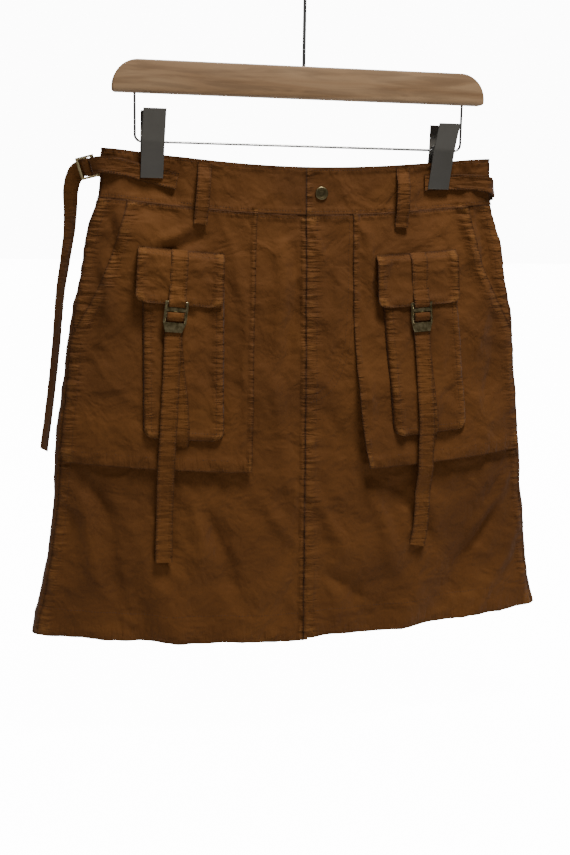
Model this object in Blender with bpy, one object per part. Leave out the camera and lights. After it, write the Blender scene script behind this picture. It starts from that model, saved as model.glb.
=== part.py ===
"""Cargo utility skirt hanging from a wooden clip hanger.

Metres, +Z up. The origin is the inside top of the hanger's hook, where the rail bears. The front of the skirt faces -Y,
and "left" is -X, the left of someone who looks at the front.

The skirt is one closed ring of cloth at every height. A place on it has two sizes: `along`, the length of cloth from the
centre front round to the right, and `drop`, the distance below the waist edge. A third size, `lift`, moves the place out
from the cloth, so whatever lies on a panel is made from the panel's own places.
"""

import functools
import math

import bmesh
import bpy
import numpy as np
from mathutils import Vector

# Hanger
BAR_LENGTH = 0.380
BAR_HEIGHT = 0.031
BAR_THICKNESS = 0.013
BAR_SHOULDER = 0.026
BAR_TOP_Z = -0.122
BAR_FOOT_Z = BAR_TOP_Z - BAR_HEIGHT
HOOK_WIRE = 0.0035
HOOK_INSIDE = 0.019
HOOK_STEM_TOP_Z = -0.054
FRAME_WIRE = 0.0025
FRAME_LEG_X = 0.1680
FRAME_RUN_Z = BAR_FOOT_Z - 0.046
FRAME_BEND = 0.0065

# Clips
CLIP_X = {-1: 0.1508, 1: 0.1482}
CLIP_WIDTH = 0.0225
CLIP_PLATE = 0.0015
CLIP_TOP_Z = BAR_FOOT_Z - 0.015
CLIP_TIP_Z = BAR_FOOT_Z - 0.081
CLIP_TIP_Y = 0.0046
CLIP_KNEE_Y = 0.0074
CLIP_TOP_Y = 0.0140
CLIP_EAR = 0.0045
CLIP_LEAN = {-1: 0.037, 1: 0.102}
CLIP_LOWER = {-1: 0.0, 1: 0.0045}

# Cloth
SEAM_GAP = 0.0003
BAND_WALL = 0.0015
PANEL_WALL = 0.0012
STRAP_WALL = 0.0010
WAIST_Z = BAR_FOOT_Z - 0.053
BAND_HEIGHT = 0.0475
SKIRT_LENGTH = 0.4865
WAIST_SAG = 0.0135
SWING = 0.002
PINCH_X = {-1: 0.1518, 1: 0.1455}
PINCH_WIDTH = 0.026
PINCH_END = 0.080
PINCHED_DEPTH = 0.0018
FLY_X = 0.0025
FRONT = 1
BACK = -1
SIDES = {"left": -1, "right": 1}

# The ring of cloth at each drop: half its width, and how far its front and its back stand out at the middle.
RING_COLUMNS = ("drop", "half_width", "front", "back", "seam_forward")
RINGS = np.array(
    (
        (0.000, 0.2010, 0.0085, 0.0080, 0.004),
        (0.047, 0.2050, 0.0120, 0.0110, 0.004),
        (0.080, 0.2160, 0.0150, 0.0140, 0.004),
        (0.120, 0.2230, 0.0180, 0.0170, 0.005),
        (0.180, 0.2350, 0.0220, 0.0200, 0.008),
        (0.240, 0.2425, 0.0255, 0.0230, 0.010),
        (0.310, 0.2510, 0.0290, 0.0255, 0.012),
        (0.380, 0.2580, 0.0320, 0.0275, 0.012),
        (0.440, 0.2665, 0.0345, 0.0290, 0.012),
        (0.487, 0.2765, 0.0360, 0.0300, 0.012),
    )
)

# The largest folds: which face, the middle of the fold at its top and at the hem, where it starts, its width and how
# far it stands out (a trough is negative).
FOLD_COLUMNS = ("face", "x_top", "x_hem", "top", "width", "height")
FOLDS = (
    (FRONT, -0.215, -0.165, 0.300, 0.018, -0.0075),
    (FRONT, -0.190, -0.128, 0.330, 0.022, 0.0060),
    (FRONT, -0.030, -0.070, 0.330, 0.030, 0.0045),
    (FRONT, 0.060, 0.075, 0.370, 0.026, -0.0050),
    (FRONT, 0.225, 0.150, 0.320, 0.026, -0.0060),
    (FRONT, 0.130, 0.112, 0.390, 0.020, 0.0040),
    (BACK, -0.150, -0.170, 0.260, 0.026, -0.0060),
    (BACK, -0.060, -0.050, 0.240, 0.030, 0.0055),
    (BACK, 0.055, 0.070, 0.280, 0.026, -0.0060),
    (BACK, 0.150, 0.165, 0.230, 0.030, 0.0050),
)

# Patch panels, pockets and straps. Every x is the distance out from the centre, at the left and at the right.
PATCH_FOOT = 0.3070
SLASH_TOP_X = 0.1770
SLASH_FOOT_DROP = 0.1800
PATCH_COLUMNS = ("inner_top", "inner_foot", "stand_off", "bend")
PATCHES = {"left": (0.0475, 0.0540, 0.0050, 0.7), "right": (0.0515, 0.0690, 0.0105, 3.0)}
POCKET_COLUMNS = ("inner_top", "outer_top", "inner_foot", "outer_foot")
POCKETS = {"left": (0.0820, 0.1625, 0.0830, 0.1635), "right": (0.0800, 0.1605, 0.0950, 0.1765)}
FLAPS = {"left": (0.0815, 0.1665, 0.0840, 0.1700), "right": (0.0745, 0.1610, 0.0770, 0.1650)}
FLAP_TOP = 0.0890
FLAP_FOOT = 0.1425
FLAP_CORNER = 0.0080
POCKET_TOP = 0.0990
POCKET_FOOT = 0.2760
POCKET_CORNER = 0.0110
POCKET_RISE = 0.0045
POCKET_SLOPE = 0.0070
STRAP_WIDTH = 0.0172

# The middle of each pocket's strap, out from the centre, at each drop.
STRAP_LINE_COLUMNS = ("drop", "left", "right")
STRAP_LINE = np.array(
    (
        (0.089, 0.1255, 0.1190),
        (0.141, 0.1295, 0.1215),
        (0.170, 0.1335, 0.1230),
        (0.258, 0.1385, 0.1280),
        (0.310, 0.1415, 0.1295),
        (0.370, 0.1435, 0.1295),
        (0.402, 0.1445, 0.1235),
    )
)
# How far the strap's fixed foot lies from the tail's line, outward from the skirt's centre.
ANCHOR_SHIFT = {"left": -0.0125, "right": 0.0045}
TAIL_FOOT = {"left": 0.4020, "right": 0.3960}

# Pocket buckle: drops of its bars' edges, from the strap's bar at the top to the grip plate at the foot.
BUCKLE_PLATE = 0.0016
BUCKLE_WIDTH = 0.0220
BUCKLE_RAIL = 0.0019
BUCKLE_DROPS = (0.1393, 0.1423, 0.1450, 0.1488, 0.1512, 0.1552, 0.1595, 0.1685)
BUCKLE_SOLID = (True, False, True, False, True, False, True)

LOOP_WIDTH = 0.0138
LOOP_FOOT = 0.0625
LOOP_STAND = 0.0057

COLOURS = {
    "cloth": ((0.235, 0.095, 0.035), 0.85, 0.0),
    "strap": ((0.200, 0.080, 0.030), 0.85, 0.0),
    "buckle": ((0.260, 0.215, 0.120), 0.40, 1.0),
    "snap": ((0.150, 0.110, 0.055), 0.45, 1.0),
    "clip": ((0.290, 0.275, 0.250), 0.45, 1.0),
    "wire": ((0.420, 0.415, 0.400), 0.35, 1.0),
    "wood": ((0.560, 0.370, 0.220), 0.60, 0.0),
}


# ---------------------------------------------------------------- scene and small helpers
def clear_scene():
    for found in list(bpy.data.objects):
        bpy.data.objects.remove(found, do_unlink=True)


def material(name):
    colour, roughness, metallic = COLOURS[name]
    made = bpy.data.materials.get(name)
    if made:
        return made
    made = bpy.data.materials.new(name)
    made.use_nodes = True
    shader = made.node_tree.nodes["Principled BSDF"]
    shader.inputs["Base Color"].default_value = (*colour, 1.0)
    shader.inputs["Roughness"].default_value = roughness
    shader.inputs["Metallic"].default_value = metallic
    return made


def add_object(name, bm, colour, smooth=True):
    bmesh.ops.recalc_face_normals(bm, faces=bm.faces)
    mesh = bpy.data.meshes.new(name)
    bm.to_mesh(mesh)
    bm.free()
    if smooth:
        mesh.shade_smooth()
        mesh.set_sharp_from_angle(angle=math.radians(40))
    mesh.materials.append(material(colour))
    made = bpy.data.objects.new(name, mesh)
    bpy.context.collection.objects.link(made)
    return made


def smooth_step(low, high, value):
    share = min(max((value - low) / (high - low), 0.0), 1.0)
    return share * share * (3 - 2 * share)


def curve_through(knots, values, at):
    """A smooth curve through a table's column, read at one or many places."""
    slopes = np.gradient(values, knots)
    row = np.clip(np.searchsorted(knots, at) - 1, 0, len(knots) - 2)
    span = knots[row + 1] - knots[row]
    share = np.clip((at - knots[row]) / span, 0.0, 1.0)
    square, cube = share**2, share**3
    start = (2 * cube - 3 * square + 1) * values[row] + (cube - 2 * square + share) * span * slopes[row]
    end = (3 * square - 2 * cube) * values[row + 1] + (cube - square) * span * slopes[row + 1]
    return start + end


# ---------------------------------------------------------------- the ring of cloth
RING_STEPS = 1440
TURN = np.linspace(-math.pi, math.pi, RING_STEPS + 1)
MIDDLE = RING_STEPS // 2
QUARTER = RING_STEPS // 4


def ring_size(column, drop):
    return float(curve_through(RINGS[:, 0], RINGS[:, RING_COLUMNS.index(column)], drop))


@functools.lru_cache(maxsize=4000)
def ring(drop):
    """x, y, the outward direction and the length along the cloth, all round, at one drop."""
    half = ring_size("half_width", drop)
    across = np.sin(TURN)
    toward = np.cos(TURN)
    blunt = np.abs(toward)
    x = half * across
    open_depth = np.where(toward > 0, ring_size("front", drop), ring_size("back", drop)) * blunt**0.8
    pinch = np.abs(x) - np.where(x < 0, PINCH_X[-1], PINCH_X[1])
    held = (1 - smooth_step(0.030, PINCH_END, drop)) * np.exp(-((pinch / PINCH_WIDTH) ** 4))
    depth = PINCHED_DEPTH * blunt**0.3 + open_depth * (1 - held)
    for face, x_top, x_hem, top, width, height in FOLDS:
        grown = smooth_step(top, SKIRT_LENGTH, drop)
        middle = x_top + (x_hem - x_top) * max(drop - top, 0.0) / (SKIRT_LENGTH - top)
        bump = height * grown * np.exp(-(((x - middle) / width) ** 2)) * blunt**0.5
        depth = depth + np.where(face * toward > 0, bump, 0.0)
    y = -np.sign(toward) * depth
    length = np.concatenate(([0.0], np.cumsum(np.hypot(np.diff(x), np.diff(y)))))
    length -= length[MIDDLE]
    run_x, run_y = np.gradient(x), np.gradient(y)
    size = np.hypot(run_x, run_y)
    return x, y, run_y / size, -run_x / size, length, half


def place(along, drop, lift=0.0):
    """The point on the cloth at `along` and `drop`, moved out by `lift`."""
    x, y, out_x, out_y, length, half = ring(round(drop, 5))
    at_x = np.interp(along, length, x)
    sag = WAIST_SAG * (1 - min(abs(at_x / half), 1.0) ** 2) ** 1.4
    tilt = SWING * at_x / half * drop / SKIRT_LENGTH
    return Vector(
        (
            at_x + lift * np.interp(along, length, out_x),
            np.interp(along, length, y) + lift * np.interp(along, length, out_y),
            WAIST_Z - sag - drop + tilt,
        )
    )


def along_at(x, drop, face=FRONT):
    """The length along the cloth of the place with this x, on the front or on the back."""
    ring_x, _, _, _, length, _ = ring(round(drop, 5))
    if face == FRONT:
        part = slice(QUARTER, RING_STEPS - QUARTER + 1)
        return float(np.interp(x, ring_x[part], length[part]))
    if x > 0:
        part = slice(RING_STEPS - QUARTER, RING_STEPS + 1)
        return float(np.interp(-x, -ring_x[part], length[part]))
    part = slice(0, QUARTER + 1)
    return float(np.interp(-x, -ring_x[part], length[part]))


def fold_along(side, drop):
    """The length along the cloth of the left or right fold, where front turns to back."""
    length = ring(round(drop, 5))[4]
    return float(length[MIDDLE + side * QUARTER])


def seam_along(side, drop):
    return fold_along(side, drop) - side * ring_size("seam_forward", drop)


def back_end(side, drop):
    """The end of the ring at the centre back, reached round the left or the right."""
    length = ring(round(drop, 5))[4]
    return float(length[-1] if side > 0 else length[0])


# ---------------------------------------------------------------- building walls of cloth
def sheet(name, columns, rows, spot, wall, colour="cloth"):
    """A wall of cloth. `spot(across, down)` gives the along, drop and lift of its inner face."""
    bm = bmesh.new()
    layers = []
    for extra in (0.0, wall):
        grid = []
        for down in rows:
            line = []
            for across in columns:
                along, drop, lift = spot(across, down)
                line.append(bm.verts.new(place(along, drop, lift + extra)))
            grid.append(line)
        layers.append(grid)
    inner, outer = layers
    last_row, last_column = len(rows) - 1, len(columns) - 1
    for r in range(last_row):
        for c in range(last_column):
            for grid in layers:
                bm.faces.new((grid[r][c], grid[r][c + 1], grid[r + 1][c + 1], grid[r + 1][c]))
    for r in range(last_row):
        for c in (0, last_column):
            bm.faces.new((inner[r][c], inner[r + 1][c], outer[r + 1][c], outer[r][c]))
    for c in range(last_column):
        for r in (0, last_row):
            bm.faces.new((inner[r][c], inner[r][c + 1], outer[r][c + 1], outer[r][c]))
    return add_object(name, bm, colour)


def even(count):
    return [i / count for i in range(count + 1)]


def finer_ends(count):
    """Shares from 0 to 1 that crowd towards 1."""
    return [math.sin(i / count * math.pi / 2) for i in range(count + 1)]


def finer_both(count):
    return [(1 - math.cos(i / count * math.pi)) / 2 for i in range(count + 1)]


def ribbon(name, middles, widths, width, thickness, colour="strap"):
    """A flat strap along a row of points, with a width direction at each."""
    bm = bmesh.new()
    rings = []
    for i, middle in enumerate(middles):
        before, after = middles[max(i - 1, 0)], middles[min(i + 1, len(middles) - 1)]
        run = (after - before).normalized()
        side = (widths[i] - run * widths[i].dot(run)).normalized() * width / 2
        out = run.cross(side).normalized() * thickness / 2
        rings.append([bm.verts.new(middle + a * side + b * out) for a, b in ((1, 1), (1, -1), (-1, -1), (-1, 1))])
    for one, two in zip(rings, rings[1:]):
        for k in range(4):
            bm.faces.new((one[k], one[(k + 1) % 4], two[(k + 1) % 4], two[k]))
    bm.faces.new(rings[0])
    bm.faces.new(rings[-1])
    return add_object(name, bm, colour)


def strap_on_cloth(name, stations, width, thickness=STRAP_WALL, colour="strap"):
    """A strap whose stations are along, drop and the lift of its middle, with its width along the cloth."""
    middles = [place(*station) for station in stations]
    widths = [place(a + 0.002, d, f) - place(a - 0.002, d, f) for a, d, f in stations]
    return ribbon(name, middles, widths, width, thickness, colour)


# ---------------------------------------------------------------- skirt
# The panels' shared rows, as drops, and the front's shared columns, as shares of its width from the fly to the side.
PANEL_ROWS = (0.0477, 0.062, 0.080, 0.100, 0.122, 0.150, 0.180, 0.214, 0.244, 0.276, PATCH_FOOT, 0.345, 0.380, 0.415)
PANEL_ROWS += (0.450, SKIRT_LENGTH)
FRONT_COLUMNS = (0.0, 0.11, 0.22, 0.33, 0.44, 0.55, 0.66, 0.76, 0.845, 0.91, 0.955, 0.985, 1.0)


def front_along(side, share, drop):
    start = along_at(FLY_X + side * SEAM_GAP / 2, drop)
    end = seam_along(side, drop) - side * SEAM_GAP / 2
    return start + (end - start) * share


def front_share(side, x, drop):
    """The share of the front panel's width at which it reaches this x."""
    start, end = front_along(side, 0.0, drop), front_along(side, 1.0, drop)
    return (along_at(x, drop) - start) / (end - start)


def front_panels():
    for label, side in SIDES.items():

        def spot(share, drop, side=side):
            longer = 0.0025 * (1 - share) ** 6 if side < 0 and drop == SKIRT_LENGTH else 0.0
            return front_along(side, share, drop), drop + longer, -PANEL_WALL

        sheet(f"front_{label}", FRONT_COLUMNS, PANEL_ROWS, spot, PANEL_WALL)


def back_along(share, drop):
    """Round the back, from the right side seam to the left one."""
    whole = back_end(1, drop) - back_end(-1, drop)
    start = seam_along(1, drop) + SEAM_GAP / 2
    end = seam_along(-1, drop) - SEAM_GAP / 2 + whole
    along = start + (end - start) * share
    return along if along <= back_end(1, drop) else along - whole


def back_panel():
    def spot(share, drop):
        return back_along(share, drop), drop, -PANEL_WALL

    sheet("back_panel", finer_both(26), PANEL_ROWS, spot, PANEL_WALL)


def waistband():
    rows = [share * (BAND_HEIGHT - SEAM_GAP / 2) for share in even(3)]
    for label, side in SIDES.items():

        def front(share, drop, side=side):
            return front_along(side, share, drop), drop, -BAND_WALL

        sheet(f"waistband_front_{label}", finer_ends(14), rows, front, BAND_WALL)

    def back(share, drop):
        return back_along(share, drop), drop, -BAND_WALL

    sheet("waistband_back", finer_both(28), rows, back, BAND_WALL)


def patch_inner_x(label, drop):
    inner_top, inner_foot, _, bend = PATCHES[label]
    share = (drop - BAND_HEIGHT) / (PATCH_FOOT - BAND_HEIGHT)
    return inner_top + (inner_foot - inner_top) * max(share, 0.0) ** bend


def patch_lift(label, x, drop):
    """How far the inner face of the patch panel stands off the front panel, at a distance x out from the centre."""
    stand_off = PATCHES[label][2]
    inner = patch_inner_x(label, drop)
    outer = ring_size("half_width", drop)
    outward = min(max((x - inner) / (outer - inner), 0.0), 1.0)
    return SEAM_GAP + stand_off * smooth_step(0.150, PATCH_FOOT, drop) * (1 - outward) ** 0.7


def patch_panels():
    """Each panel shares the front's rows and columns. Columns past the slash are gathered at its edge."""
    rows = [drop for drop in PANEL_ROWS if drop <= PATCH_FOOT]
    for label, side in SIDES.items():
        first = max(front_share(side, side * patch_inner_x(label, drop), drop) for drop in rows)
        columns = [0.0] + [share for share in FRONT_COLUMNS if share > first + 0.02]

        def spot(column, drop, label=label, side=side, first=first):
            inner = front_share(side, side * patch_inner_x(label, drop), drop)
            slash = front_share(side, side * SLASH_TOP_X, rows[0])
            reach = slash + (1 - slash) * min((drop - rows[0]) / (SLASH_FOOT_DROP - rows[0]), 1.0)
            share = inner if column == 0.0 else min(column, reach - (1 - column) * 0.05)
            along = front_along(side, share, drop) - side * SEAM_GAP / 2 * share
            x = abs(place(along, drop).x)
            return along, drop, patch_lift(label, x, drop)

        sheet(f"patch_{label}", columns, rows, spot, PANEL_WALL)


def rounded_width(drop, foot, corner):
    """How much a rounded lower corner takes off each side at this drop."""
    into = max(drop - (foot - corner), 0.0)
    return corner - math.sqrt(max(corner**2 - into**2, 0.0))


def corner_rows(plain, foot_share):
    """Shares from top to foot, with five rows round the corner, whose height is foot_share of the whole."""
    rows = [share * (1 - foot_share) for share in even(plain)]
    return rows + [1 - foot_share * (1 - math.sin(k * math.pi / 10)) for k in (1.4, 2.6, 3.7, 4.5)]


def sloped_edge(label, table, corner, top, foot):
    """The spot finder of a piece on a patch panel: its x, from its inner to its outer edge, and its drop."""
    inner_top, outer_top, inner_foot, outer_foot = table[label]

    def at(across, down):
        drop = top + (foot - top) * down
        inner = inner_top + (inner_foot - inner_top) * down
        outer = outer_top + (outer_foot - outer_top) * down
        cut = rounded_width(drop, foot, corner)
        return inner + cut + (outer - inner - 2 * cut) * across, drop, inner, outer

    return at


def pocket_rise(x, drop, inner, outer):
    """How far the pocket's inner face stands off its edges: up a slope from its sides and its foot."""
    edge = min(x - inner, outer - x, POCKET_FOOT - drop)
    return POCKET_RISE * smooth_step(0.0, POCKET_SLOPE, max(edge, 0.0))


def pocket_face(label, x, drop):
    """The lift of the pocket's outer face in its middle."""
    return patch_lift(label, x, drop) + PANEL_WALL + SEAM_GAP + POCKET_RISE + PANEL_WALL


def cargo_pockets():
    for label, side in SIDES.items():
        at = sloped_edge(label, POCKETS, POCKET_CORNER, POCKET_TOP, POCKET_FOOT)

        def spot(across, down, at=at, label=label, side=side):
            x, drop, inner, outer = at(across, down)
            lift = patch_lift(label, x, drop) + PANEL_WALL + SEAM_GAP + pocket_rise(x, drop, inner, outer)
            return along_at(side * x, drop), drop, lift

        edge = POCKET_SLOPE / 0.0805
        columns = [0, edge / 2, edge, 0.22, 0.36, 0.50, 0.64, 0.78, 1 - edge, 1 - edge / 2, 1]
        sheet(f"pocket_{label}", columns, corner_rows(8, POCKET_CORNER / (POCKET_FOOT - POCKET_TOP)), spot, PANEL_WALL)


def flap_lift(label, x, drop):
    """The lift of the flap's inner face: on the patch panel at its top, over the pocket lower down."""
    seat = patch_lift(label, x, drop) + PANEL_WALL + SEAM_GAP
    over = pocket_face(label, x, drop) + SEAM_GAP - seat
    return seat + over * smooth_step(FLAP_TOP, POCKET_TOP - 0.001, drop)


def flaps():
    for label, side in SIDES.items():
        at = sloped_edge(label, FLAPS, FLAP_CORNER, FLAP_TOP, FLAP_FOOT)

        def spot(across, down, at=at, label=label, side=side):
            x, drop, _, _ = at(across, down)
            return along_at(side * x, drop), drop, flap_lift(label, x, drop)

        share = FLAP_CORNER / (FLAP_FOOT - FLAP_TOP)
        rows = [0.0, 0.06, 0.12, 0.19, 0.26] + [row for row in corner_rows(5, share) if row > 0.30]
        sheet(f"flap_{label}", even(8), rows, spot, PANEL_WALL)


def strap_x(label, drop):
    column = STRAP_LINE_COLUMNS.index(label)
    return float(np.interp(drop, STRAP_LINE[:, 0], STRAP_LINE[:, column]))


def anchor_x(label, drop):
    """The fixed run slants away from the tail's line toward its foot."""
    return strap_x(label, drop) + ANCHOR_SHIFT[label] * smooth_step(0.158, 0.275, drop)


def buckle_plane(label, drop):
    """The lift of the middle of the pocket buckle's plate."""
    return pocket_face(label, strap_x(label, drop), drop) + 0.0042


def strap_route(label, side, steps, line=strap_x):
    """Along, drop and lift for steps of drop and height above the pocket's face."""
    route = []
    for drop, height in steps:
        x = line(label, drop)
        face = pocket_face(label, x, drop) if drop > POCKET_TOP else flap_lift(label, x, drop) - SEAM_GAP
        route.append((along_at(side * x, drop), drop, face + height))
    return route


def flap_straps():
    """Sewn down the flap, forward round the buckle's top bar and back up behind itself."""
    down = ((0.0893, 0.0024), (0.0922, 0.0029), (0.0954, 0.0030), (0.0992, 0.0027), (0.1029, 0.0024), (0.1180, 0.0023))
    over = ((0.1240, 0.0025), (0.1280, 0.0037), (0.1330, 0.0044), (0.1375, 0.0061), (0.1415, 0.0063))
    under = ((0.1432, 0.0057), (0.1440, 0.0042), (0.1434, 0.0028), (0.1415, 0.0023), (0.1300, 0.0023))
    for label, side in SIDES.items():
        strap_on_cloth(f"flap_strap_{label}", strap_route(label, side, down + over + under), STRAP_WIDTH)


def pocket_straps():
    """Fixed under the pocket's foot, up its face, forward over the buckle's bar and down as the free tail."""
    sewn = ((0.2830, 0.0008), (0.2785, 0.0018), (0.2755, 0.0034), (0.2725, 0.0064))
    up = ((0.2690, 0.0012), (0.2450, 0.0008), (0.2000, 0.0008), (0.1720, 0.0008), (0.1580, 0.00085))
    through = ((0.1535, 0.0011), (0.1512, 0.0018), (0.1501, 0.0030), (0.1500, 0.0046), (0.1502, 0.0056))
    over = ((0.1513, 0.0063), (0.1530, 0.0065), (0.1550, 0.0063), (0.1564, 0.0056), (0.1572, 0.0045))
    behind = ((0.1578, 0.0034), (0.1588, 0.0026), (0.1605, 0.0023), (0.1700, 0.0023))
    tail = ((0.1800, 0.0030), (0.2000, 0.0034), (0.2300, 0.0032), (0.2600, 0.0030))
    clear_of_patch = ((0.2820, 0.0064), (0.2980, 0.0040), (0.3120, 0.0030))
    for label, side in SIDES.items():

        def over_patch(steps, line=strap_x, label=label, side=side):
            route = []
            for drop, height in steps:
                x = line(label, drop)
                face = patch_lift(label, x, min(drop, PATCH_FOOT)) + PANEL_WALL
                route.append((along_at(side * x, drop), drop, face + height))
            return route

        route = over_patch(sewn, anchor_x) + strap_route(label, side, up, anchor_x)
        route += strap_route(label, side, through + over + behind + tail)
        below = over_patch(clear_of_patch)
        foot = TAIL_FOOT[label]
        for share, lift in ((0.30, 0.0042), (0.55, 0.0026), (0.78, 0.0018), (1.0, 0.0015)):
            drop = 0.3120 + (foot - 0.3120) * share
            below.append((along_at(side * strap_x(label, drop), drop), drop, lift + 0.0006))
        strap_on_cloth(f"pocket_strap_{label}", route + below, STRAP_WIDTH)


def barred_plate(name, rails, drops, solid, corner, colour="buckle"):
    """A flat metal frame: two side rails joined by bars. `corner(across, drop, level)` gives each point."""
    lines = (-1.0, -rails, rails, 1.0)
    bm = bmesh.new()
    made = {}

    def vertex(c, r, level):
        key = (c, r, level)
        if key not in made:
            made[key] = bm.verts.new(corner(lines[c], drops[r], level))
        return made[key]

    cells = {(c, r) for r in range(len(drops) - 1) for c in range(3) if c != 1 or solid[r]}
    for c, r in sorted(cells):
        for level in (-1, 1):
            bm.faces.new([vertex(c + i, r + j, level) for i, j in ((0, 0), (1, 0), (1, 1), (0, 1))])
        edges = {
            (c - 1, r): ((0, 0), (0, 1)),
            (c + 1, r): ((1, 0), (1, 1)),
            (c, r - 1): ((0, 0), (1, 0)),
            (c, r + 1): ((0, 1), (1, 1)),
        }
        for beside, (one, two) in edges.items():
            if beside not in cells:
                first = [vertex(c + one[0], r + one[1], level) for level in (-1, 1)]
                second = [vertex(c + two[0], r + two[1], level) for level in (1, -1)]
                bm.faces.new(first + second)
    return add_object(name, bm, colour, smooth=False)


def pocket_buckles():
    """A ladder buckle: the flap strap's bar, a flat bar, the long strap's bar and the grip plate, which narrows."""
    rails = 1 - 2 * BUCKLE_RAIL / BUCKLE_WIDTH
    last = BUCKLE_DROPS[-1]
    for label, side in SIDES.items():

        def corner(across, drop, level, label=label, side=side):
            narrow = 1.0 - 0.28 * smooth_step(BUCKLE_DROPS[-2], last, drop)
            x = strap_x(label, drop)
            along = along_at(side * x, drop) + across * narrow * BUCKLE_WIDTH / 2
            return place(along, drop, buckle_plane(label, drop) + level * BUCKLE_PLATE / 2)

        barred_plate(f"buckle_{label}", rails, BUCKLE_DROPS, BUCKLE_SOLID, corner)


def belt_loops():
    """Each loop arches off the band, so that a belt passes behind it."""
    tops = {"left": (-0.1000, -0.1055), "right": (0.1035, 0.1020)}
    steps = (
        (0.0030, 0.0),
        (0.0080, 0.0),
        (0.0130, 0.35),
        (0.0180, 0.85),
        (0.0230, 1.0),
        (0.0400, 1.0),
        (0.0460, 0.85),
        (0.0530, 0.35),
        (0.0580, 0.0),
        (LOOP_FOOT, 0.0),
    )
    patch_outer = PANEL_WALL + 2 * SEAM_GAP
    for label, (x_top, x_foot) in tops.items():
        stations = []
        for drop, stand in steps:
            x = x_top + (x_foot - x_top) * drop / LOOP_FOOT
            seat = patch_outer if drop > 0.040 else SEAM_GAP
            lift = seat + STRAP_WALL / 2 + (LOOP_STAND - seat) * stand
            stations.append((along_at(x, drop), drop, lift))
        strap_on_cloth(f"belt_loop_{label}", stations, LOOP_WIDTH, colour="cloth")
    stations = []
    for drop, stand in steps:
        lift = SEAM_GAP + STRAP_WALL / 2 + (LOOP_STAND - SEAM_GAP) * stand
        stations.append((back_end(1, drop) - 0.0001, drop, lift))
    middles = [place(*station) for station in stations]
    ribbon("belt_loop_back", middles, [Vector((1, 0, 0))] * len(middles), LOOP_WIDTH, STRAP_WALL, "cloth")


def smooth_route(rows, step):
    """A smooth run of points, and of the width directions beside them, through a few rows of both."""
    table = np.array([[*point, *turn] for point, turn in rows])
    knots = np.concatenate(([0.0], np.cumsum(np.linalg.norm(np.diff(table[:, :3], axis=0), axis=1))))
    at = [0.0]
    for start, end in zip(knots, knots[1:]):
        parts = max(2, math.ceil((end - start) / step))
        at += [start + (end - start) * (k + 1) / parts for k in range(parts)]
    at = np.array(at)
    columns = np.array([curve_through(knots, table[:, k], at) for k in range(6)])
    return [Vector(place) for place in columns[:3].T], [Vector(turn) for turn in columns[3:].T]


# Side adjusters. The tab is sewn to the front band at its square end and wraps the buckle's first bar. The strap is sewn
# to the back band, runs under the buckle, up and over its middle bar and down again, and its tail hangs free.
TAB_WIDTH = 0.0165
SIDE_BUCKLE = 0.0195
SIDE_BUCKLE_HALF = 0.0105
SIDE_BUCKLE_PLATE = 0.0014
SIDE_BUCKLE_BARS = (-1.0, -0.74, -0.14, 0.14, 0.74, 1.0)
BUCKLE_MIDDLE = {"left": (-0.2142, 0.0002, WAIST_Z - 0.0190), "right": (0.1995, 0.0105, WAIST_Z - 0.0330)}
BUCKLE_ACROSS = {"left": (-0.80, 0.56, -0.20), "right": (-0.75, 0.62, -0.20)}
BUCKLE_ALONG = {"left": (0.0, -0.3, 1.0), "right": (-0.1, 0.2, 1.0)}
TABS = {
    "left": (
        (-0.1270, 0.0240, 0.0014),
        (-0.1420, 0.0222, 0.0012),
        (-0.1580, 0.0200, 0.0012),
        (-0.1720, 0.0182, 0.0016),
        (-0.1840, 0.0166, 0.0026),
        (-0.1920, 0.0160, 0.0040),
    ),
    "right": (
        (0.1290, 0.0200, 0.0014),
        (0.1420, 0.0205, 0.0012),
        (0.1580, 0.0215, 0.0012),
        (0.1720, 0.0225, 0.0016),
        (0.1840, 0.0240, 0.0024),
        (0.1930, 0.0255, 0.0034),
        (0.1990, 0.0272, 0.0040),
        (0.2030, 0.0290, 0.0034),
    ),
}


def buckle_frame(label):
    """The side buckle's middle, and the directions across its bars, along them and out of its face."""
    across = Vector(BUCKLE_ACROSS[label]).normalized()
    along = Vector(BUCKLE_ALONG[label])
    along = (along - across * along.dot(across)).normalized()
    out = along.cross(across) * -SIDES[label]
    return Vector(BUCKLE_MIDDLE[label]), across, along, out


def in_buckle(label, steps):
    """Points at steps across, out of and along the buckle, in millimetres."""
    middle, across, along, out = buckle_frame(label)
    return [middle + (across * a + out * o + along * v) * 0.001 for a, o, v in steps]


def side_adjusters():
    for label, side in SIDES.items():
        middle, across, along, out = buckle_frame(label)

        def corner(one, two, level, middle=middle, across=across, along=along, out=out):
            reach = across * two * SIDE_BUCKLE / 2 + along * one * SIDE_BUCKLE_HALF
            return middle + reach + out * level * SIDE_BUCKLE_PLATE / 2

        barred_plate(f"side_buckle_{label}", 0.84, SIDE_BUCKLE_BARS, (True, False, True, False, True), corner)

        tab = [place(along_at(x, drop), drop, lift) for x, drop, lift in TABS[label]]
        rising = [Vector((0.20 if side < 0 else -0.05, 0.0, 1.0))] * len(tab)
        wrap = in_buckle(label, ((-10.5, 1.7, 0), (-7.6, 1.9, 0), (-6.0, 1.3, 0), (-5.6, 0.0, 0), (-6.1, -1.4, 0)))
        wrap += in_buckle(label, ((-7.4, -1.9, 0), (-8.8, -2.0, 0)))
        ribbon(f"side_tab_{label}", tab + wrap, rising + [along] * len(wrap), TAB_WIDTH, STRAP_WALL, "cloth")


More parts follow.
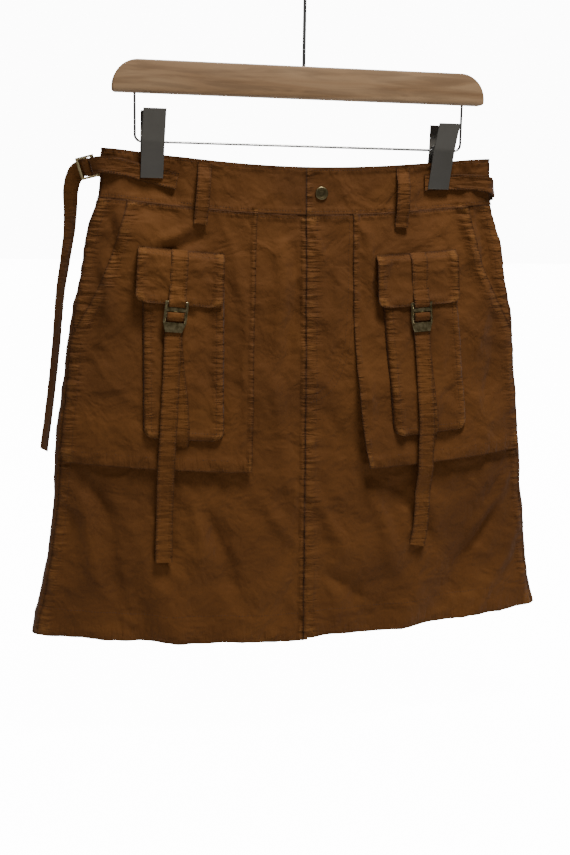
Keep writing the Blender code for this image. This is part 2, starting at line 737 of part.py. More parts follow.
LOOP_THROUGH = (
    (11.0, -4.8, 0),
    (6.0, -3.8, 0),
    (1.5, -3.4, 0),
    (-1.8, -2.6, 0),
    (-3.0, -1.2, 0),
    (-3.2, 0.2, 0),
    (-2.6, 1.5, 0),
    (-1.0, 2.0, 0),
    (1.0, 2.0, 0),
    (2.7, 1.4, 0),
    (3.6, 0.1, 0),
    (4.4, -1.2, 0),
    (6.2, -2.0, 0),
    (9.0, -2.1, -0.3),
)
UP = (0.0, 0.0, 1.0)
ROUTE_STEP = 0.014


def side_straps():
    """The left tail hangs just outside the side seam. The right one hangs close behind the back panel."""
    sewn = {
        "left": ((-0.1680, 0.0135), (-0.1830, 0.0150), (-0.2000, 0.0185)),
        "right": ((0.1600, 0.0120), (0.1720, 0.0150), (0.1840, 0.0185)),
    }
    level = {"left": WAIST_Z - 0.0190, "right": WAIST_Z - 0.0300}
    turn_back = {"left": ((11.5, -11.5, 0), (13.5, -8.0, 0)), "right": ()}
    tails = {
        "left": (
            ((-0.2270, 0.0115, WAIST_Z - 0.0290), (-0.45, 0.10, 0.85)),
            ((-0.2300, 0.0140, WAIST_Z - 0.0410), (-0.85, 0.45, 0.30)),
            ((-0.2305, 0.0150, WAIST_Z - 0.0560), (-0.80, 0.60, 0.10)),
            ((-0.2315, 0.0145, WAIST_Z - 0.0760), (-0.68, 0.73, 0.0)),
            ((-0.2350, 0.0145, WAIST_Z - 0.1000), (-0.58, 0.81, 0.0)),
            ((-0.2415, 0.0150, WAIST_Z - 0.1400), (-0.50, 0.87, 0.0)),
            ((-0.2465, 0.0150, WAIST_Z - 0.1900), (-0.46, 0.89, 0.0)),
            ((-0.2530, 0.0150, WAIST_Z - 0.2450), (-0.44, 0.90, 0.0)),
            ((-0.2610, 0.0150, WAIST_Z - 0.3010), (-0.44, 0.90, 0.0)),
        ),
        "right": (
            ((0.1930, 0.0245, WAIST_Z - 0.0480), (0.7, -0.2, 0.7)),
            ((0.1935, 0.0270, WAIST_Z - 0.0660), (1.0, -0.4, 0.2)),
            ((0.1960, 0.0270, WAIST_Z - 0.1000), (1.0, -0.4, 0.0)),
            ((0.2000, 0.0275, WAIST_Z - 0.1600), (1.0, -0.4, 0.0)),
            ((0.2050, 0.0285, WAIST_Z - 0.2300), (1.0, -0.4, 0.0)),
            ((0.2090, 0.0300, WAIST_Z - 0.2960), (1.0, -0.4, 0.0)),
        ),
    }
    turn_down = ((12.5, -2.0, -1.0),)
    for label in SIDES:
        along = buckle_frame(label)[2]
        rows = [((x, y, level[label]), UP) for x, y in sewn[label]]
        rows += [(point, UP) for point in in_buckle(label, turn_back[label])]
        rows += [(point, along) for point in in_buckle(label, LOOP_THROUGH + turn_down)]
        middles, turns = smooth_route(rows + list(tails[label]), ROUTE_STEP)
        ribbon(f"side_strap_{label}", middles, turns, TAB_WIDTH, STRAP_WALL)


# ---------------------------------------------------------------- hardware
def snap():
    """A low domed cap on the waistband's overlapping end."""
    drop = 0.0260
    along = along_at(0.0180, drop)
    side = (place(along + 0.004, drop) - place(along - 0.004, drop)).normalized()
    up = (place(along, drop - 0.004) - place(along, drop + 0.004)).normalized()
    out = side.cross(up).normalized()
    foot = place(along, drop) + out * 1.5 * SEAM_GAP
    profile = ((0.0062, 0.0), (0.0066, 0.0006), (0.0062, 0.0013), (0.0046, 0.0016), (0.0026, 0.0014))
    bm = bmesh.new()
    count = 20
    rings = []
    for radius, height in profile:
        turns = [2 * math.pi * k / count for k in range(count)]
        rings.append(
            [bm.verts.new(foot + out * height + radius * (math.cos(t) * side + math.sin(t) * up)) for t in turns]
        )
    for one, two in zip(rings, rings[1:]):
        for k in range(count):
            bm.faces.new((one[k], one[(k + 1) % count], two[(k + 1) % count], two[k]))
    bm.faces.new(rings[0])
    bm.faces.new(rings[-1])
    add_object("snap", bm, "snap")


def wire(name, points, diameter, colour, resolution):
    data = bpy.data.curves.new(name, "CURVE")
    data.dimensions = "3D"
    data.bevel_depth = diameter / 2
    data.bevel_resolution = resolution
    data.use_fill_caps = True
    spline = data.splines.new("POLY")
    spline.points.add(len(points) - 1)
    for slot, point in zip(spline.points, points):
        slot.co = (*point, 1.0)
    data.materials.append(material(colour))
    made = bpy.data.objects.new(name, data)
    bpy.context.collection.objects.link(made)
    return made


def hook():
    """A straight stem that bows out to one side and comes back over the top, so the load hangs under the rail."""
    radius = HOOK_INSIDE + HOOK_WIRE / 2
    centre = Vector((0, 0, -HOOK_INSIDE))
    start = math.radians(-45)
    join = centre + radius * Vector((math.cos(start), 0, math.sin(start)))
    heading = Vector((-math.sin(start), 0, math.cos(start)))
    stem_top = Vector((0, 0, HOOK_STEM_TOP_Z))
    reach = 0.009
    controls = (stem_top, stem_top + Vector((0, 0, reach)), join - heading * reach, join)
    points = [Vector((0, 0, BAR_TOP_Z + SEAM_GAP))]
    for k in range(9):
        t = k / 8
        weights = ((1 - t) ** 3, 3 * t * (1 - t) ** 2, 3 * t * t * (1 - t), t**3)
        points.append(sum((w * c for w, c in zip(weights, controls)), Vector((0, 0, 0))))
    for k in range(1, 25):
        angle = start + math.radians(245) * k / 24
        points.append(centre + radius * Vector((math.cos(angle), 0, math.sin(angle))))
    wire("hanger_hook", points, HOOK_WIRE, "wire", 3)


def frame_wire():
    """A steel frame under the bar. The clips hang on its level run."""
    points = []
    for side in (-1, 1):
        leg = [Vector((side * FRAME_LEG_X, 0, BAR_FOOT_Z - SEAM_GAP))]
        for k in range(7):
            angle = math.radians(90) * k / 6
            across = FRAME_LEG_X - FRAME_BEND * (1 - math.cos(angle))
            level = FRAME_RUN_Z + FRAME_BEND * (1 - math.sin(angle))
            leg.append(Vector((side * across, 0, level)))
        points += leg if side < 0 else leg[::-1]
    wire("hanger_wire", points, FRAME_WIRE, "wire", 2)


def bar():
    """One plank: round shoulders, a nearly square foot and softened edges."""
    half, top, foot = BAR_LENGTH / 2, BAR_TOP_Z, BAR_FOOT_Z
    outline = [(-half + 0.002, foot), (half - 0.002, foot), (half, foot + 0.002)]
    for side in (1, -1):
        arc = []
        for k in range(9):
            angle = math.radians(90) * k / 8
            across = half - BAR_SHOULDER * (1 - math.cos(angle))
            arc.append((side * across, top - BAR_SHOULDER * (1 - math.sin(angle))))
        outline += arc if side > 0 else arc[::-1]
    outline.append((-half, foot + 0.002))
    bm = bmesh.new()
    near = [bm.verts.new((x, -BAR_THICKNESS / 2, z)) for x, z in outline]
    far = [bm.verts.new((x, BAR_THICKNESS / 2, z)) for x, z in outline]
    bm.faces.new(near)
    bm.faces.new(far)
    for k in range(len(outline)):
        following = (k + 1) % len(outline)
        bm.faces.new((near[k], near[following], far[following], far[k]))
    made = add_object("hanger_bar", bm, "wood")
    soften = made.modifiers.new("soft edges", "BEVEL")
    soften.width = 0.0018
    soften.segments = 2
    soften.limit_method = "ANGLE"
    soften.angle_limit = math.radians(50)


def clip_arm(name, side, face):
    """A bent plate with two ears that hang on the wire."""
    run_z, lower = FRAME_RUN_Z, CLIP_LOWER[side]
    profile = (
        (CLIP_TIP_Y, CLIP_TIP_Z - lower),
        (CLIP_TIP_Y + 0.0006, CLIP_TIP_Z - lower + 0.012),
        (CLIP_KNEE_Y, run_z),
        (CLIP_TOP_Y, CLIP_TOP_Z - lower),
    )
    bm = bmesh.new()
    rings = []
    for depth, level in profile:
        lean = CLIP_LEAN[side] * (level - run_z)
        ring_points = []
        for across, out in ((-1, 0), (1, 0), (1, 1), (-1, 1)):
            x = side * CLIP_X[side] + lean + across * CLIP_WIDTH / 2
            ring_points.append(bm.verts.new((x, -face * (depth + out * CLIP_PLATE), level)))
        rings.append(ring_points)
    for one, two in zip(rings, rings[1:]):
        for k in range(4):
            bm.faces.new((one[k], one[(k + 1) % 4], two[(k + 1) % 4], two[k]))
    bm.faces.new(rings[0])
    bm.faces.new(rings[-1])
    arm = add_object(name, bm, "clip", smooth=False)
    for edge in (-1, 1):
        add_ear(arm, name, side, face, edge)
    return arm


def add_ear(arm, name, side, face, edge):
    """One ear, with the wire's hole through it, joined to the arm."""
    inset = 0.0006 if face == FRONT else 0.0025
    x = side * CLIP_X[side] + edge * (CLIP_WIDTH / 2 - inset)
    bm = bmesh.new()
    count = 20
    turn = [2 * math.pi * k / count for k in range(count)]
    loops = []
    for across in (0.0, -edge * 0.0012):
        outer = []
        inner = []
        for angle in turn:
            y, z = math.cos(angle), math.sin(angle)
            reach = CLIP_EAR
            outer_y = -face * (CLIP_KNEE_Y + 0.0005) if y * -face > 0.55 else y * reach
            outer.append(bm.verts.new((x + across, outer_y, FRAME_RUN_Z + z * reach)))
            hole = FRAME_WIRE / 2 + SEAM_GAP
            inner.append(bm.verts.new((x + across, y * hole, FRAME_RUN_Z + z * hole)))
        loops.append((outer, inner))
    (outer_a, inner_a), (outer_b, inner_b) = loops
    for k in range(count):
        n = (k + 1) % count
        bm.faces.new((outer_a[k], outer_a[n], inner_a[n], inner_a[k]))
        bm.faces.new((outer_b[k], outer_b[n], inner_b[n], inner_b[k]))
        bm.faces.new((outer_a[k], outer_a[n], outer_b[n], outer_b[k]))
        bm.faces.new((inner_a[k], inner_a[n], inner_b[n], inner_b[k]))
    ear = add_object(f"{name}_ear_{edge}", bm, "clip", smooth=False)
    ear.hide_render = True
    ear.display_type = "WIRE"
    join = arm.modifiers.new(f"ear {edge}", "BOOLEAN")
    join.operation = "UNION"
    join.solver = "EXACT"
    join.object = ear


def clip_spring(name, side):
    """The spring's coil round the wire, between the ears."""
    half = CLIP_WIDTH / 2 - 0.0050
    profile = ((FRAME_WIRE / 2 + SEAM_GAP, -half), (0.0034, -half), (0.0034, half), (FRAME_WIRE / 2 + SEAM_GAP, half))
    bm = bmesh.new()
    count = 16
    rings = []
    for k in range(count):
        angle = 2 * math.pi * k / count
        rings.append(
            [
                bm.verts.new(
                    (side * CLIP_X[side] + across, radius * math.cos(angle), FRAME_RUN_Z + radius * math.sin(angle))
                )
                for radius, across in profile
            ]
        )
    for k in range(count):
        one, two = rings[k], rings[(k + 1) % count]
        for j in range(4):
            bm.faces.new((one[j], one[(j + 1) % 4], two[(j + 1) % 4], two[j]))
    add_object(name, bm, "wire")


def clips():
    for label, side in SIDES.items():
        clip_arm(f"clip_{label}_front", side, FRONT)
        clip_arm(f"clip_{label}_back", side, BACK)
        clip_spring(f"clip_{label}_spring", side)


def main():
    clear_scene()
    front_panels()
    back_panel()
    waistband()
    patch_panels()
    cargo_pockets()
    flaps()
    flap_straps()
    pocket_straps()
    pocket_buckles()
    belt_loops()
    side_adjusters()
    side_straps()
    snap()
    hook()
    frame_wire()
    bar()
    clips()


main()
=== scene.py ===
# %% [markdown]
# # A cargo utility skirt on a clip hanger
# This lesson dresses a finished construction model. The solids of the skirt and its hanger are loaded first
# and stay where they are. Every visible piece is then made again with more detail, in the same place: cloth
# as thin walls with creases, puckers and stitches, straps as padded ribbons, and the metal and wood with
# softened edges.

# %% Load the construction model
import functools
import math

import bpy
import numpy as np
from mathutils import Matrix, Vector


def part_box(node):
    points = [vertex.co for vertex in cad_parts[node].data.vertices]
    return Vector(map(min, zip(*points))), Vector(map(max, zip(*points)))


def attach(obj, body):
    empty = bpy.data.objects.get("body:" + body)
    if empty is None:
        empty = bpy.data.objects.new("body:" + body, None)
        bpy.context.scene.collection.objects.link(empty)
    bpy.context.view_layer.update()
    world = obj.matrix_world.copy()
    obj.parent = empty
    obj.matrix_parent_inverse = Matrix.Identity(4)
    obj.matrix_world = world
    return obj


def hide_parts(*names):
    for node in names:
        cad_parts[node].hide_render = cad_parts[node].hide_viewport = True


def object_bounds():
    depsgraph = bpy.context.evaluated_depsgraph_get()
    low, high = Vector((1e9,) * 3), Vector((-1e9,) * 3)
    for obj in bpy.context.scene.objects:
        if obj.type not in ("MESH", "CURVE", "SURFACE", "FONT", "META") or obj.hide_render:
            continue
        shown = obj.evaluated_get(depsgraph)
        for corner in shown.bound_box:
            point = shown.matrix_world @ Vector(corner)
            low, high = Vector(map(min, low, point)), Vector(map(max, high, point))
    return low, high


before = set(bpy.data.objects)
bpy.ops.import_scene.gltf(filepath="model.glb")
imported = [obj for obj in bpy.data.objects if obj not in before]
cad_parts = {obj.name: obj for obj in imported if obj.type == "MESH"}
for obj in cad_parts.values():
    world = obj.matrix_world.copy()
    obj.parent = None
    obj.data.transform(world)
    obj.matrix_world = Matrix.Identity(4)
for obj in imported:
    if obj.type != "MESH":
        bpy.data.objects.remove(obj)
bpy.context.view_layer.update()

# %% [markdown]
# ## The camera
# The skirt hangs at eye level and is seen from a little to its left and from slightly above. A 48 mm lens
# gives the mild perspective that makes the bar look level while the hem curves gently.

# %% Place the camera
EYE = Vector((-0.268, -1.160, -0.273))
YAW = math.radians(-12.4)
PITCH = math.radians(10.2)
ROLL = math.radians(0.96)
lens = bpy.data.cameras.new("camera")
lens.lens = 48.4
camera = bpy.data.objects.new("camera", lens)
bpy.context.collection.objects.link(camera)
camera.location = EYE
ahead = Vector((-math.sin(YAW) * math.cos(PITCH), math.cos(YAW) * math.cos(PITCH), -math.sin(PITCH)))
level = Vector((math.cos(YAW), math.sin(YAW), 0))
upright = level.cross(ahead)
right = level * math.cos(ROLL) + upright * math.sin(ROLL)
up = upright * math.cos(ROLL) - level * math.sin(ROLL)
camera.rotation_mode = "QUATERNION"
axes = [[right[k], up[k], -ahead[k]] for k in range(3)]
camera.rotation_quaternion = Matrix(axes).to_quaternion()
bpy.context.scene.camera = camera
print("camera at", tuple(round(v, 3) for v in EYE))

# %% [markdown]
# ## Sizes
# The sizes repeat the ones that the construction model was drawn from, because every layer of cloth is
# worked out from the same closed ring. All of them are in metres. The hook's inside top is the origin.

# %% Name the sizes of the garment
BAR_FOOT_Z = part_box("hanger_bar")[0].z
BAR_TOP_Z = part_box("hanger_bar")[1].z
FRAME_RUN_Z = BAR_FOOT_Z - 0.046
WAIST_Z = BAR_FOOT_Z - 0.053
SEAM_GAP = 0.0003
BAND_WALL = 0.0015
PANEL_WALL = 0.0012
STRAP_WALL = 0.0010
BAND_HEIGHT = 0.0475
SKIRT_LENGTH = 0.4865
WAIST_SAG = 0.0135
SWING = 0.002
PINCH_X = {-1: 0.1518, 1: 0.1455}
PINCH_WIDTH = 0.026
PINCH_END = 0.080
PINCHED_DEPTH = 0.0018
FLY_X = 0.0025
FRONT = 1
BACK = -1
SIDES = {"left": -1, "right": 1}
RING_COLUMNS = ("drop", "half_width", "front", "back", "seam_forward")
RINGS = np.array(
    (
        (0.000, 0.2010, 0.0085, 0.0080, 0.004),
        (0.047, 0.2050, 0.0120, 0.0110, 0.004),
        (0.080, 0.2160, 0.0150, 0.0140, 0.004),
        (0.120, 0.2230, 0.0180, 0.0170, 0.005),
        (0.180, 0.2350, 0.0220, 0.0200, 0.008),
        (0.240, 0.2425, 0.0255, 0.0230, 0.010),
        (0.310, 0.2510, 0.0290, 0.0255, 0.012),
        (0.380, 0.2580, 0.0320, 0.0275, 0.012),
        (0.440, 0.2665, 0.0345, 0.0290, 0.012),
        (0.487, 0.2765, 0.0360, 0.0300, 0.012),
    )
)
FOLDS = (
    (FRONT, -0.215, -0.165, 0.300, 0.018, -0.0075),
    (FRONT, -0.190, -0.128, 0.330, 0.022, 0.0060),
    (FRONT, -0.030, -0.070, 0.330, 0.030, 0.0045),
    (FRONT, 0.060, 0.075, 0.370, 0.026, -0.0050),
    (FRONT, 0.225, 0.150, 0.320, 0.026, -0.0060),
    (FRONT, 0.130, 0.112, 0.390, 0.020, 0.0040),
    (BACK, -0.150, -0.170, 0.260, 0.026, -0.0060),
    (BACK, -0.060, -0.050, 0.240, 0.030, 0.0055),
    (BACK, 0.055, 0.070, 0.280, 0.026, -0.0060),
    (BACK, 0.150, 0.165, 0.230, 0.030, 0.0050),
)
print("waist", round(2 * RINGS[0, 1], 3), "m, hem", round(2 * RINGS[-1, 1], 3), "m across")

# %% [markdown]
# ## The ring of cloth
# A hanging skirt is one closed ring at every height. Measuring each place as a length along the ring and a
# drop below the waist lets panels, pockets and straps all share it. A third size, the lift, moves a place
# out from the cloth, so a pocket can never sink into its panel.

# %% Work out the ring at any drop
RING_STEPS = 1440
TURN = np.linspace(-math.pi, math.pi, RING_STEPS + 1)
MIDDLE = RING_STEPS // 2
QUARTER = RING_STEPS // 4


def smooth_step(low, high, value):
    share = np.clip((value - low) / (high - low), 0.0, 1.0)
    return share * share * (3 - 2 * share)


def curve_through(knots, values, at):
    """A smooth curve through a table's column."""
    slopes = np.gradient(values, knots)
    row = np.clip(np.searchsorted(knots, at) - 1, 0, len(knots) - 2)
    span = knots[row + 1] - knots[row]
    share = np.clip((at - knots[row]) / span, 0.0, 1.0)
    square, cube = share**2, share**3
    start = (2 * cube - 3 * square + 1) * values[row] + (cube - 2 * square + share) * span * slopes[row]
    end = (3 * square - 2 * cube) * values[row + 1] + (cube - square) * span * slopes[row + 1]
    return start + end


def ring_size(column, drop):
    return float(curve_through(RINGS[:, 0], RINGS[:, RING_COLUMNS.index(column)], drop))


@functools.lru_cache(maxsize=9000)
def ring(drop):
    """x, y, the outward direction and the length along the cloth, all round, at one drop."""
    half = ring_size("half_width", drop)
    across, toward = np.sin(TURN), np.cos(TURN)
    blunt = np.abs(toward)
    x = half * across
    open_depth = np.where(toward > 0, ring_size("front", drop), ring_size("back", drop)) * blunt**0.8
    pinch = np.abs(x) - np.where(x < 0, PINCH_X[-1], PINCH_X[1])
    held = (1 - smooth_step(0.030, PINCH_END, drop)) * np.exp(-((pinch / PINCH_WIDTH) ** 4))
    depth = PINCHED_DEPTH * blunt**0.3 + open_depth * (1 - held)
    for face, x_top, x_hem, top, width, height in FOLDS:
        grown = smooth_step(top, SKIRT_LENGTH, drop)
        middle = x_top + (x_hem - x_top) * max(drop - top, 0.0) / (SKIRT_LENGTH - top)
        bump = height * grown * np.exp(-(((x - middle) / width) ** 2)) * blunt**0.5
        depth = depth + np.where(face * toward > 0, bump, 0.0)
    y = -np.sign(toward) * depth
    length = np.concatenate(([0.0], np.cumsum(np.hypot(np.diff(x), np.diff(y)))))
    length -= length[MIDDLE]
    run_x, run_y = np.gradient(x), np.gradient(y)
    size = np.hypot(run_x, run_y)
    return x, y, run_y / size, -run_x / size, length, half


def spots(along, drop, lift=0.0, fall=0.0):
    """Points on the cloth at many lengths along one drop, moved out by `lift` and down by `fall`."""
    x, y, out_x, out_y, length, half = ring(round(float(drop), 4))
    whole = length[-1] - length[0]
    along = np.where(along > length[-1], along - whole, along)
    at_x = np.interp(along, length, x)
    sag = WAIST_SAG * (1 - np.minimum(np.abs(at_x / half), 1.0) ** 2) ** 1.4
    tilt = SWING * at_x / half * drop / SKIRT_LENGTH
    px = at_x + lift * np.interp(along, length, out_x)
    py = np.interp(along, length, y) + lift * np.interp(along, length, out_y)
    return np.stack((px, py, WAIST_Z - sag - drop + tilt - fall), axis=-1)


def place(along, drop, lift=0.0):
    return Vector(spots(np.array([along]), drop, lift)[0])


def x_at(along, drop):
    x, _, _, _, length, _ = ring(round(float(drop), 4))
    whole = length[-1] - length[0]
    return np.interp(np.where(along > length[-1], along - whole, along), length, x)


def along_at(x, drop):
    """The length along the front of the cloth of the place with this x."""
    ring_x, _, _, _, length, _ = ring(round(float(drop), 4))
    part = slice(QUARTER, RING_STEPS - QUARTER + 1)
    return np.interp(x, ring_x[part], length[part])


def seam_along(side, drop):
    length = ring(round(float(drop), 4))[4]
    return length[MIDDLE + side * QUARTER] - side * ring_size("seam_forward", drop)


def whole_round(drop):
    length = ring(round(float(drop), 4))[4]
    return length[-1] - length[0]


print("hem round", round(whole_round(SKIRT_LENGTH), 3), "m, waist round", round(whole_round(0.0), 3), "m")

# %% [markdown]
# ## Creases
# Worn cotton never hangs flat. The main creases are listed one by one, each as a soft ridge or trough between
# two places, because a maker can then read and move every one. A smooth random field adds the small
# unevenness between them. All layers share this relief, so a crease runs through a panel and the pocket on
# it together.

# %% Place the creases
CREASE_COLUMNS = ("x_start", "drop_start", "x_end", "drop_end", "width", "height")
FRONT_CREASES = (
    (-0.110, 0.060, -0.150, 0.088, 0.0050, 0.0016),
    (-0.098, 0.066, -0.142, 0.100, 0.0050, -0.0012),
    (-0.085, 0.055, -0.060, 0.140, 0.0060, 0.0010),
    (-0.180, 0.055, -0.200, 0.120, 0.0050, 0.0014),
    (-0.196, 0.060, -0.186, 0.110, 0.0045, -0.0014),
    (-0.205, 0.100, -0.190, 0.170, 0.0060, 0.0016),
    (-0.212, 0.150, -0.216, 0.230, 0.0060, -0.0014),
    (-0.064, 0.120, -0.070, 0.290, 0.0060, 0.0012),
    (-0.076, 0.180, -0.066, 0.300, 0.0050, -0.0010),
    (-0.030, 0.056, -0.022, 0.200, 0.0065, 0.0014),
    (-0.012, 0.080, -0.016, 0.240, 0.0050, -0.0010),
    (-0.040, 0.200, -0.010, 0.330, 0.0070, 0.0012),
    (0.010, 0.060, 0.026, 0.150, 0.0050, 0.0012),
    (0.034, 0.090, 0.022, 0.230, 0.0060, 0.0011),
    (0.020, 0.240, 0.052, 0.300, 0.0060, -0.0012),
    (0.062, 0.060, 0.072, 0.130, 0.0050, 0.0012),
    (0.060, 0.200, 0.074, 0.290, 0.0060, 0.0012),
    (0.170, 0.060, 0.186, 0.110, 0.0050, 0.0014),
    (0.186, 0.056, 0.204, 0.130, 0.0050, -0.0014),
    (0.198, 0.120, 0.188, 0.210, 0.0070, 0.0018),
    (0.208, 0.170, 0.200, 0.280, 0.0060, -0.0014),
    (0.184, 0.240, 0.206, 0.300, 0.0060, 0.0014),
    (-0.235, 0.330, -0.205, 0.440, 0.0080, 0.0022),
    (-0.222, 0.322, -0.180, 0.400, 0.0065, -0.0018),
    (-0.200, 0.360, -0.168, 0.470, 0.0080, 0.0020),
    (-0.120, 0.330, -0.098, 0.420, 0.0080, 0.0018),
    (-0.104, 0.350, -0.060, 0.450, 0.0080, -0.0018),
    (-0.050, 0.330, -0.012, 0.380, 0.0060, 0.0014),
    (0.008, 0.330, 0.050, 0.400, 0.0065, 0.0016),
    (0.020, 0.420, 0.080, 0.452, 0.0070, -0.0012),
    (0.070, 0.330, 0.110, 0.430, 0.0080, 0.0018),
    (0.100, 0.330, 0.150, 0.400, 0.0070, -0.0016),
    (0.235, 0.325, 0.190, 0.400, 0.0070, 0.0022),
    (0.222, 0.350, 0.168, 0.450, 0.0080, -0.0018),
    (0.246, 0.380, 0.214, 0.470, 0.0070, 0.0018),
)
BACK_CREASES = (
    (-0.150, 0.070, -0.120, 0.170, 0.0070, 0.0016),
    (-0.180, 0.090, -0.165, 0.230, 0.0080, -0.0016),
    (-0.060, 0.060, -0.075, 0.150, 0.0060, 0.0014),
    (-0.020, 0.200, 0.020, 0.330, 0.0090, 0.0016),
    (0.040, 0.060, 0.070, 0.160, 0.0060, 0.0014),
    (0.120, 0.080, 0.150, 0.200, 0.0080, -0.0016),
    (0.190, 0.120, 0.170, 0.260, 0.0080, 0.0018),
    (-0.220, 0.300, -0.170, 0.420, 0.0090, 0.0022),
    (-0.100, 0.340, -0.130, 0.450, 0.0090, -0.0018),
    (0.090, 0.330, 0.060, 0.440, 0.0090, 0.0018),
    (0.220, 0.320, 0.180, 0.430, 0.0090, 0.0022),
)


CREASE_DEPTH = 2.6
BROAD_HEIGHT, BROAD_CELL = 0.0022, 0.045
FOLD_HEIGHT, FOLD_CELL = 0.0015, 0.034
CRUMPLE_HEIGHT, CRUMPLE_CELL = 0.0008, 0.015
GRAIN_HEIGHT, GRAIN_CELL = 0.00018, 0.0065


def rumple(u, v, cell, seed):
    """A smooth random field from -1 to 1, with bumps about one cell apart."""
    table = np.random.default_rng(seed).uniform(-1, 1, (64, 64))
    u, v = np.broadcast_arrays(np.asarray(u) / cell, np.asarray(v) / cell)
    iu, iv = np.floor(u).astype(int), np.floor(v).astype(int)
    fu, fv = u - iu, v - iv
    fu, fv = fu * fu * (3 - 2 * fu), fv * fv * (3 - 2 * fv)
    top = table[iu % 64, iv % 64] * (1 - fu) + table[(iu + 1) % 64, iv % 64] * fu
    foot = table[iu % 64, (iv + 1) % 64] * (1 - fu) + table[(iu + 1) % 64, (iv + 1) % 64] * fu
    return top * (1 - fv) + foot * fv


def crease_relief(table, x, drop):
    total = np.zeros(np.shape(x))
    for x_start, drop_start, x_end, drop_end, width, height in table:
        run_x, run_drop = x_end - x_start, drop_end - drop_start
        size = run_x**2 + run_drop**2
        share = ((x - x_start) * run_x + (drop - drop_start) * run_drop) / size
        bend = 0.12 * np.sin(share * 5.0) * math.sqrt(size)
        off = ((x - x_start) * run_drop - (drop - drop_start) * run_x) / math.sqrt(size) - bend * 0.3
        fade = smooth_step(-0.15, 0.30, share) * (1 - smooth_step(0.65, 1.15, share))
        total = total + height * fade * np.exp(-((off / width) ** 2))
    return total


def crumple(u, v, cell, seed):
    """Narrow ridges between flat hollows, running in every direction."""
    bend_u = u + 0.35 * cell * rumple(u, v, cell * 1.3, seed + 40)
    bend_v = v + 0.35 * cell * rumple(u, v, cell * 1.3, seed + 41)
    turned_u, turned_v = 0.80 * bend_u + 0.60 * bend_v, 0.80 * bend_v - 0.60 * bend_u
    return (1 - np.abs(rumple(turned_u, turned_v, cell, seed))) ** 3 - 0.4


def face_relief(x, drop, face):
    free = smooth_step(0.030, 0.085, drop)
    seed = 3 if face == FRONT else 9
    total = CREASE_DEPTH * crease_relief(FRONT_CREASES if face == FRONT else BACK_CREASES, x, drop)
    total = total + BROAD_HEIGHT * free * rumple(x * 1.4 + drop * 0.5, drop * 0.8, BROAD_CELL, seed)
    total = total + FOLD_HEIGHT * (0.4 + 0.6 * free) * crumple(x * 1.2, drop * 0.8, FOLD_CELL, seed + 1)
    total = total + CRUMPLE_HEIGHT * crumple(x, drop * 0.9, CRUMPLE_CELL, seed + 2)
    return total + GRAIN_HEIGHT * rumple(x + drop * 0.6, drop, GRAIN_CELL, seed + 3)


def body_relief(x, drop, face=FRONT):
    """The relief that every layer shares. At the sides the front's and the back's run into each other."""
    shared = 0.5 * smooth_step(0.90, 0.975, np.abs(x) / ring_size("half_width", drop))
    return face_relief(x, drop, face) * (1 - shared) + face_relief(x, drop, -face) * shared


print("creases in front", len(FRONT_CREASES), "and behind", len(BACK_CREASES))

# %% [markdown]
# ## Cloth colours
# The cotton is a tobacco brown twill, washed as a finished garment, so its colour is uneven and the ribs
# that its stitching raises are lighter. The mesh carries three numbers at its points. `edge` is the
# nearness to a seam or to a strap's side, where painted shade darkens the colour to stand in for the
# shadow in that crevice. `pulled_across` and `pulled_down` say how strongly the stitching draws the cloth,
# and in which direction its ribs run. A twill line and a fine crumple are cut as bump, because they are
# smaller than any vertex spacing worth paying for.

# %% Mix the cotton
# Painted shade: the dark colour below is mixed in along seams and folded edges, within the reach given here, to
# stand in for the shadow in their crevices.
PAINTED_SHADE_REACH = 0.0011
PAINTED_SEAM_SHADE = (0.042, 0.0135, 0.0018)


def tree_of(name, roughness, metallic=0.0):
    made = bpy.data.materials.new(name)
    made.use_nodes = True
    nodes, links = made.node_tree.nodes, made.node_tree.links
    shader = nodes["Principled BSDF"]
    shader.inputs["Roughness"].default_value = roughness
    shader.inputs["Metallic"].default_value = metallic
    return made, nodes, links, shader


def noise(nodes, links, place_socket, scale, detail=4.0, distortion=0.0, stretch=None):
    made = nodes.new("ShaderNodeTexNoise")
    made.inputs["Scale"].default_value = scale
    made.inputs["Detail"].default_value = detail
    made.inputs["Distortion"].default_value = distortion
    if stretch:
        turn = nodes.new("ShaderNodeMapping")
        turn.inputs["Scale"].default_value = stretch
        links.new(place_socket, turn.inputs["Vector"])
        place_socket = turn.outputs["Vector"]
    links.new(place_socket, made.inputs["Vector"])
    return made.outputs["Fac"]


def ramp(nodes, links, factor, stops):
    made = nodes.new("ShaderNodeValToRGB")
    while len(made.color_ramp.elements) < len(stops):
        made.color_ramp.elements.new(0.5)
    for element, (at, colour) in zip(made.color_ramp.elements, stops):
        element.position = at
        element.color = (*colour, 1.0)
    links.new(factor, made.inputs["Fac"])
    return made.outputs["Color"]


def blend_colours(nodes, links, factor, one, two, kind="MIX"):
    made = nodes.new("ShaderNodeMix")
    made.data_type = "RGBA"
    made.blend_type = kind
    if isinstance(factor, float):
        made.inputs["Factor"].default_value = factor
    else:
        links.new(factor, made.inputs["Factor"])
    for socket, colour in ((made.inputs[6], one), (made.inputs[7], two)):
        if isinstance(colour, tuple):
            socket.default_value = (*colour, 1.0)
        else:
            links.new(colour, socket)
    return made.outputs[2]


def bump(nodes, links, height, strength, distance, under=None):
    made = nodes.new("ShaderNodeBump")
    made.inputs["Strength"].default_value = strength
    made.inputs["Distance"].default_value = distance
    links.new(height, made.inputs["Height"])
    if under:
        links.new(under, made.inputs["Normal"])
    return made.outputs["Normal"]


def multiplied(nodes, links, one, two):
    made = nodes.new("ShaderNodeMath")
    made.operation = "MULTIPLY"
    links.new(one, made.inputs[0])
    if isinstance(two, float):
        made.inputs[1].default_value = two
    else:
        links.new(two, made.inputs[1])
    return made.outputs[0]


def carried(nodes, name):
    """A number that the mesh carries at its points."""
    made = nodes.new("ShaderNodeAttribute")
    made.attribute_name = name
    return made.outputs["Fac"]


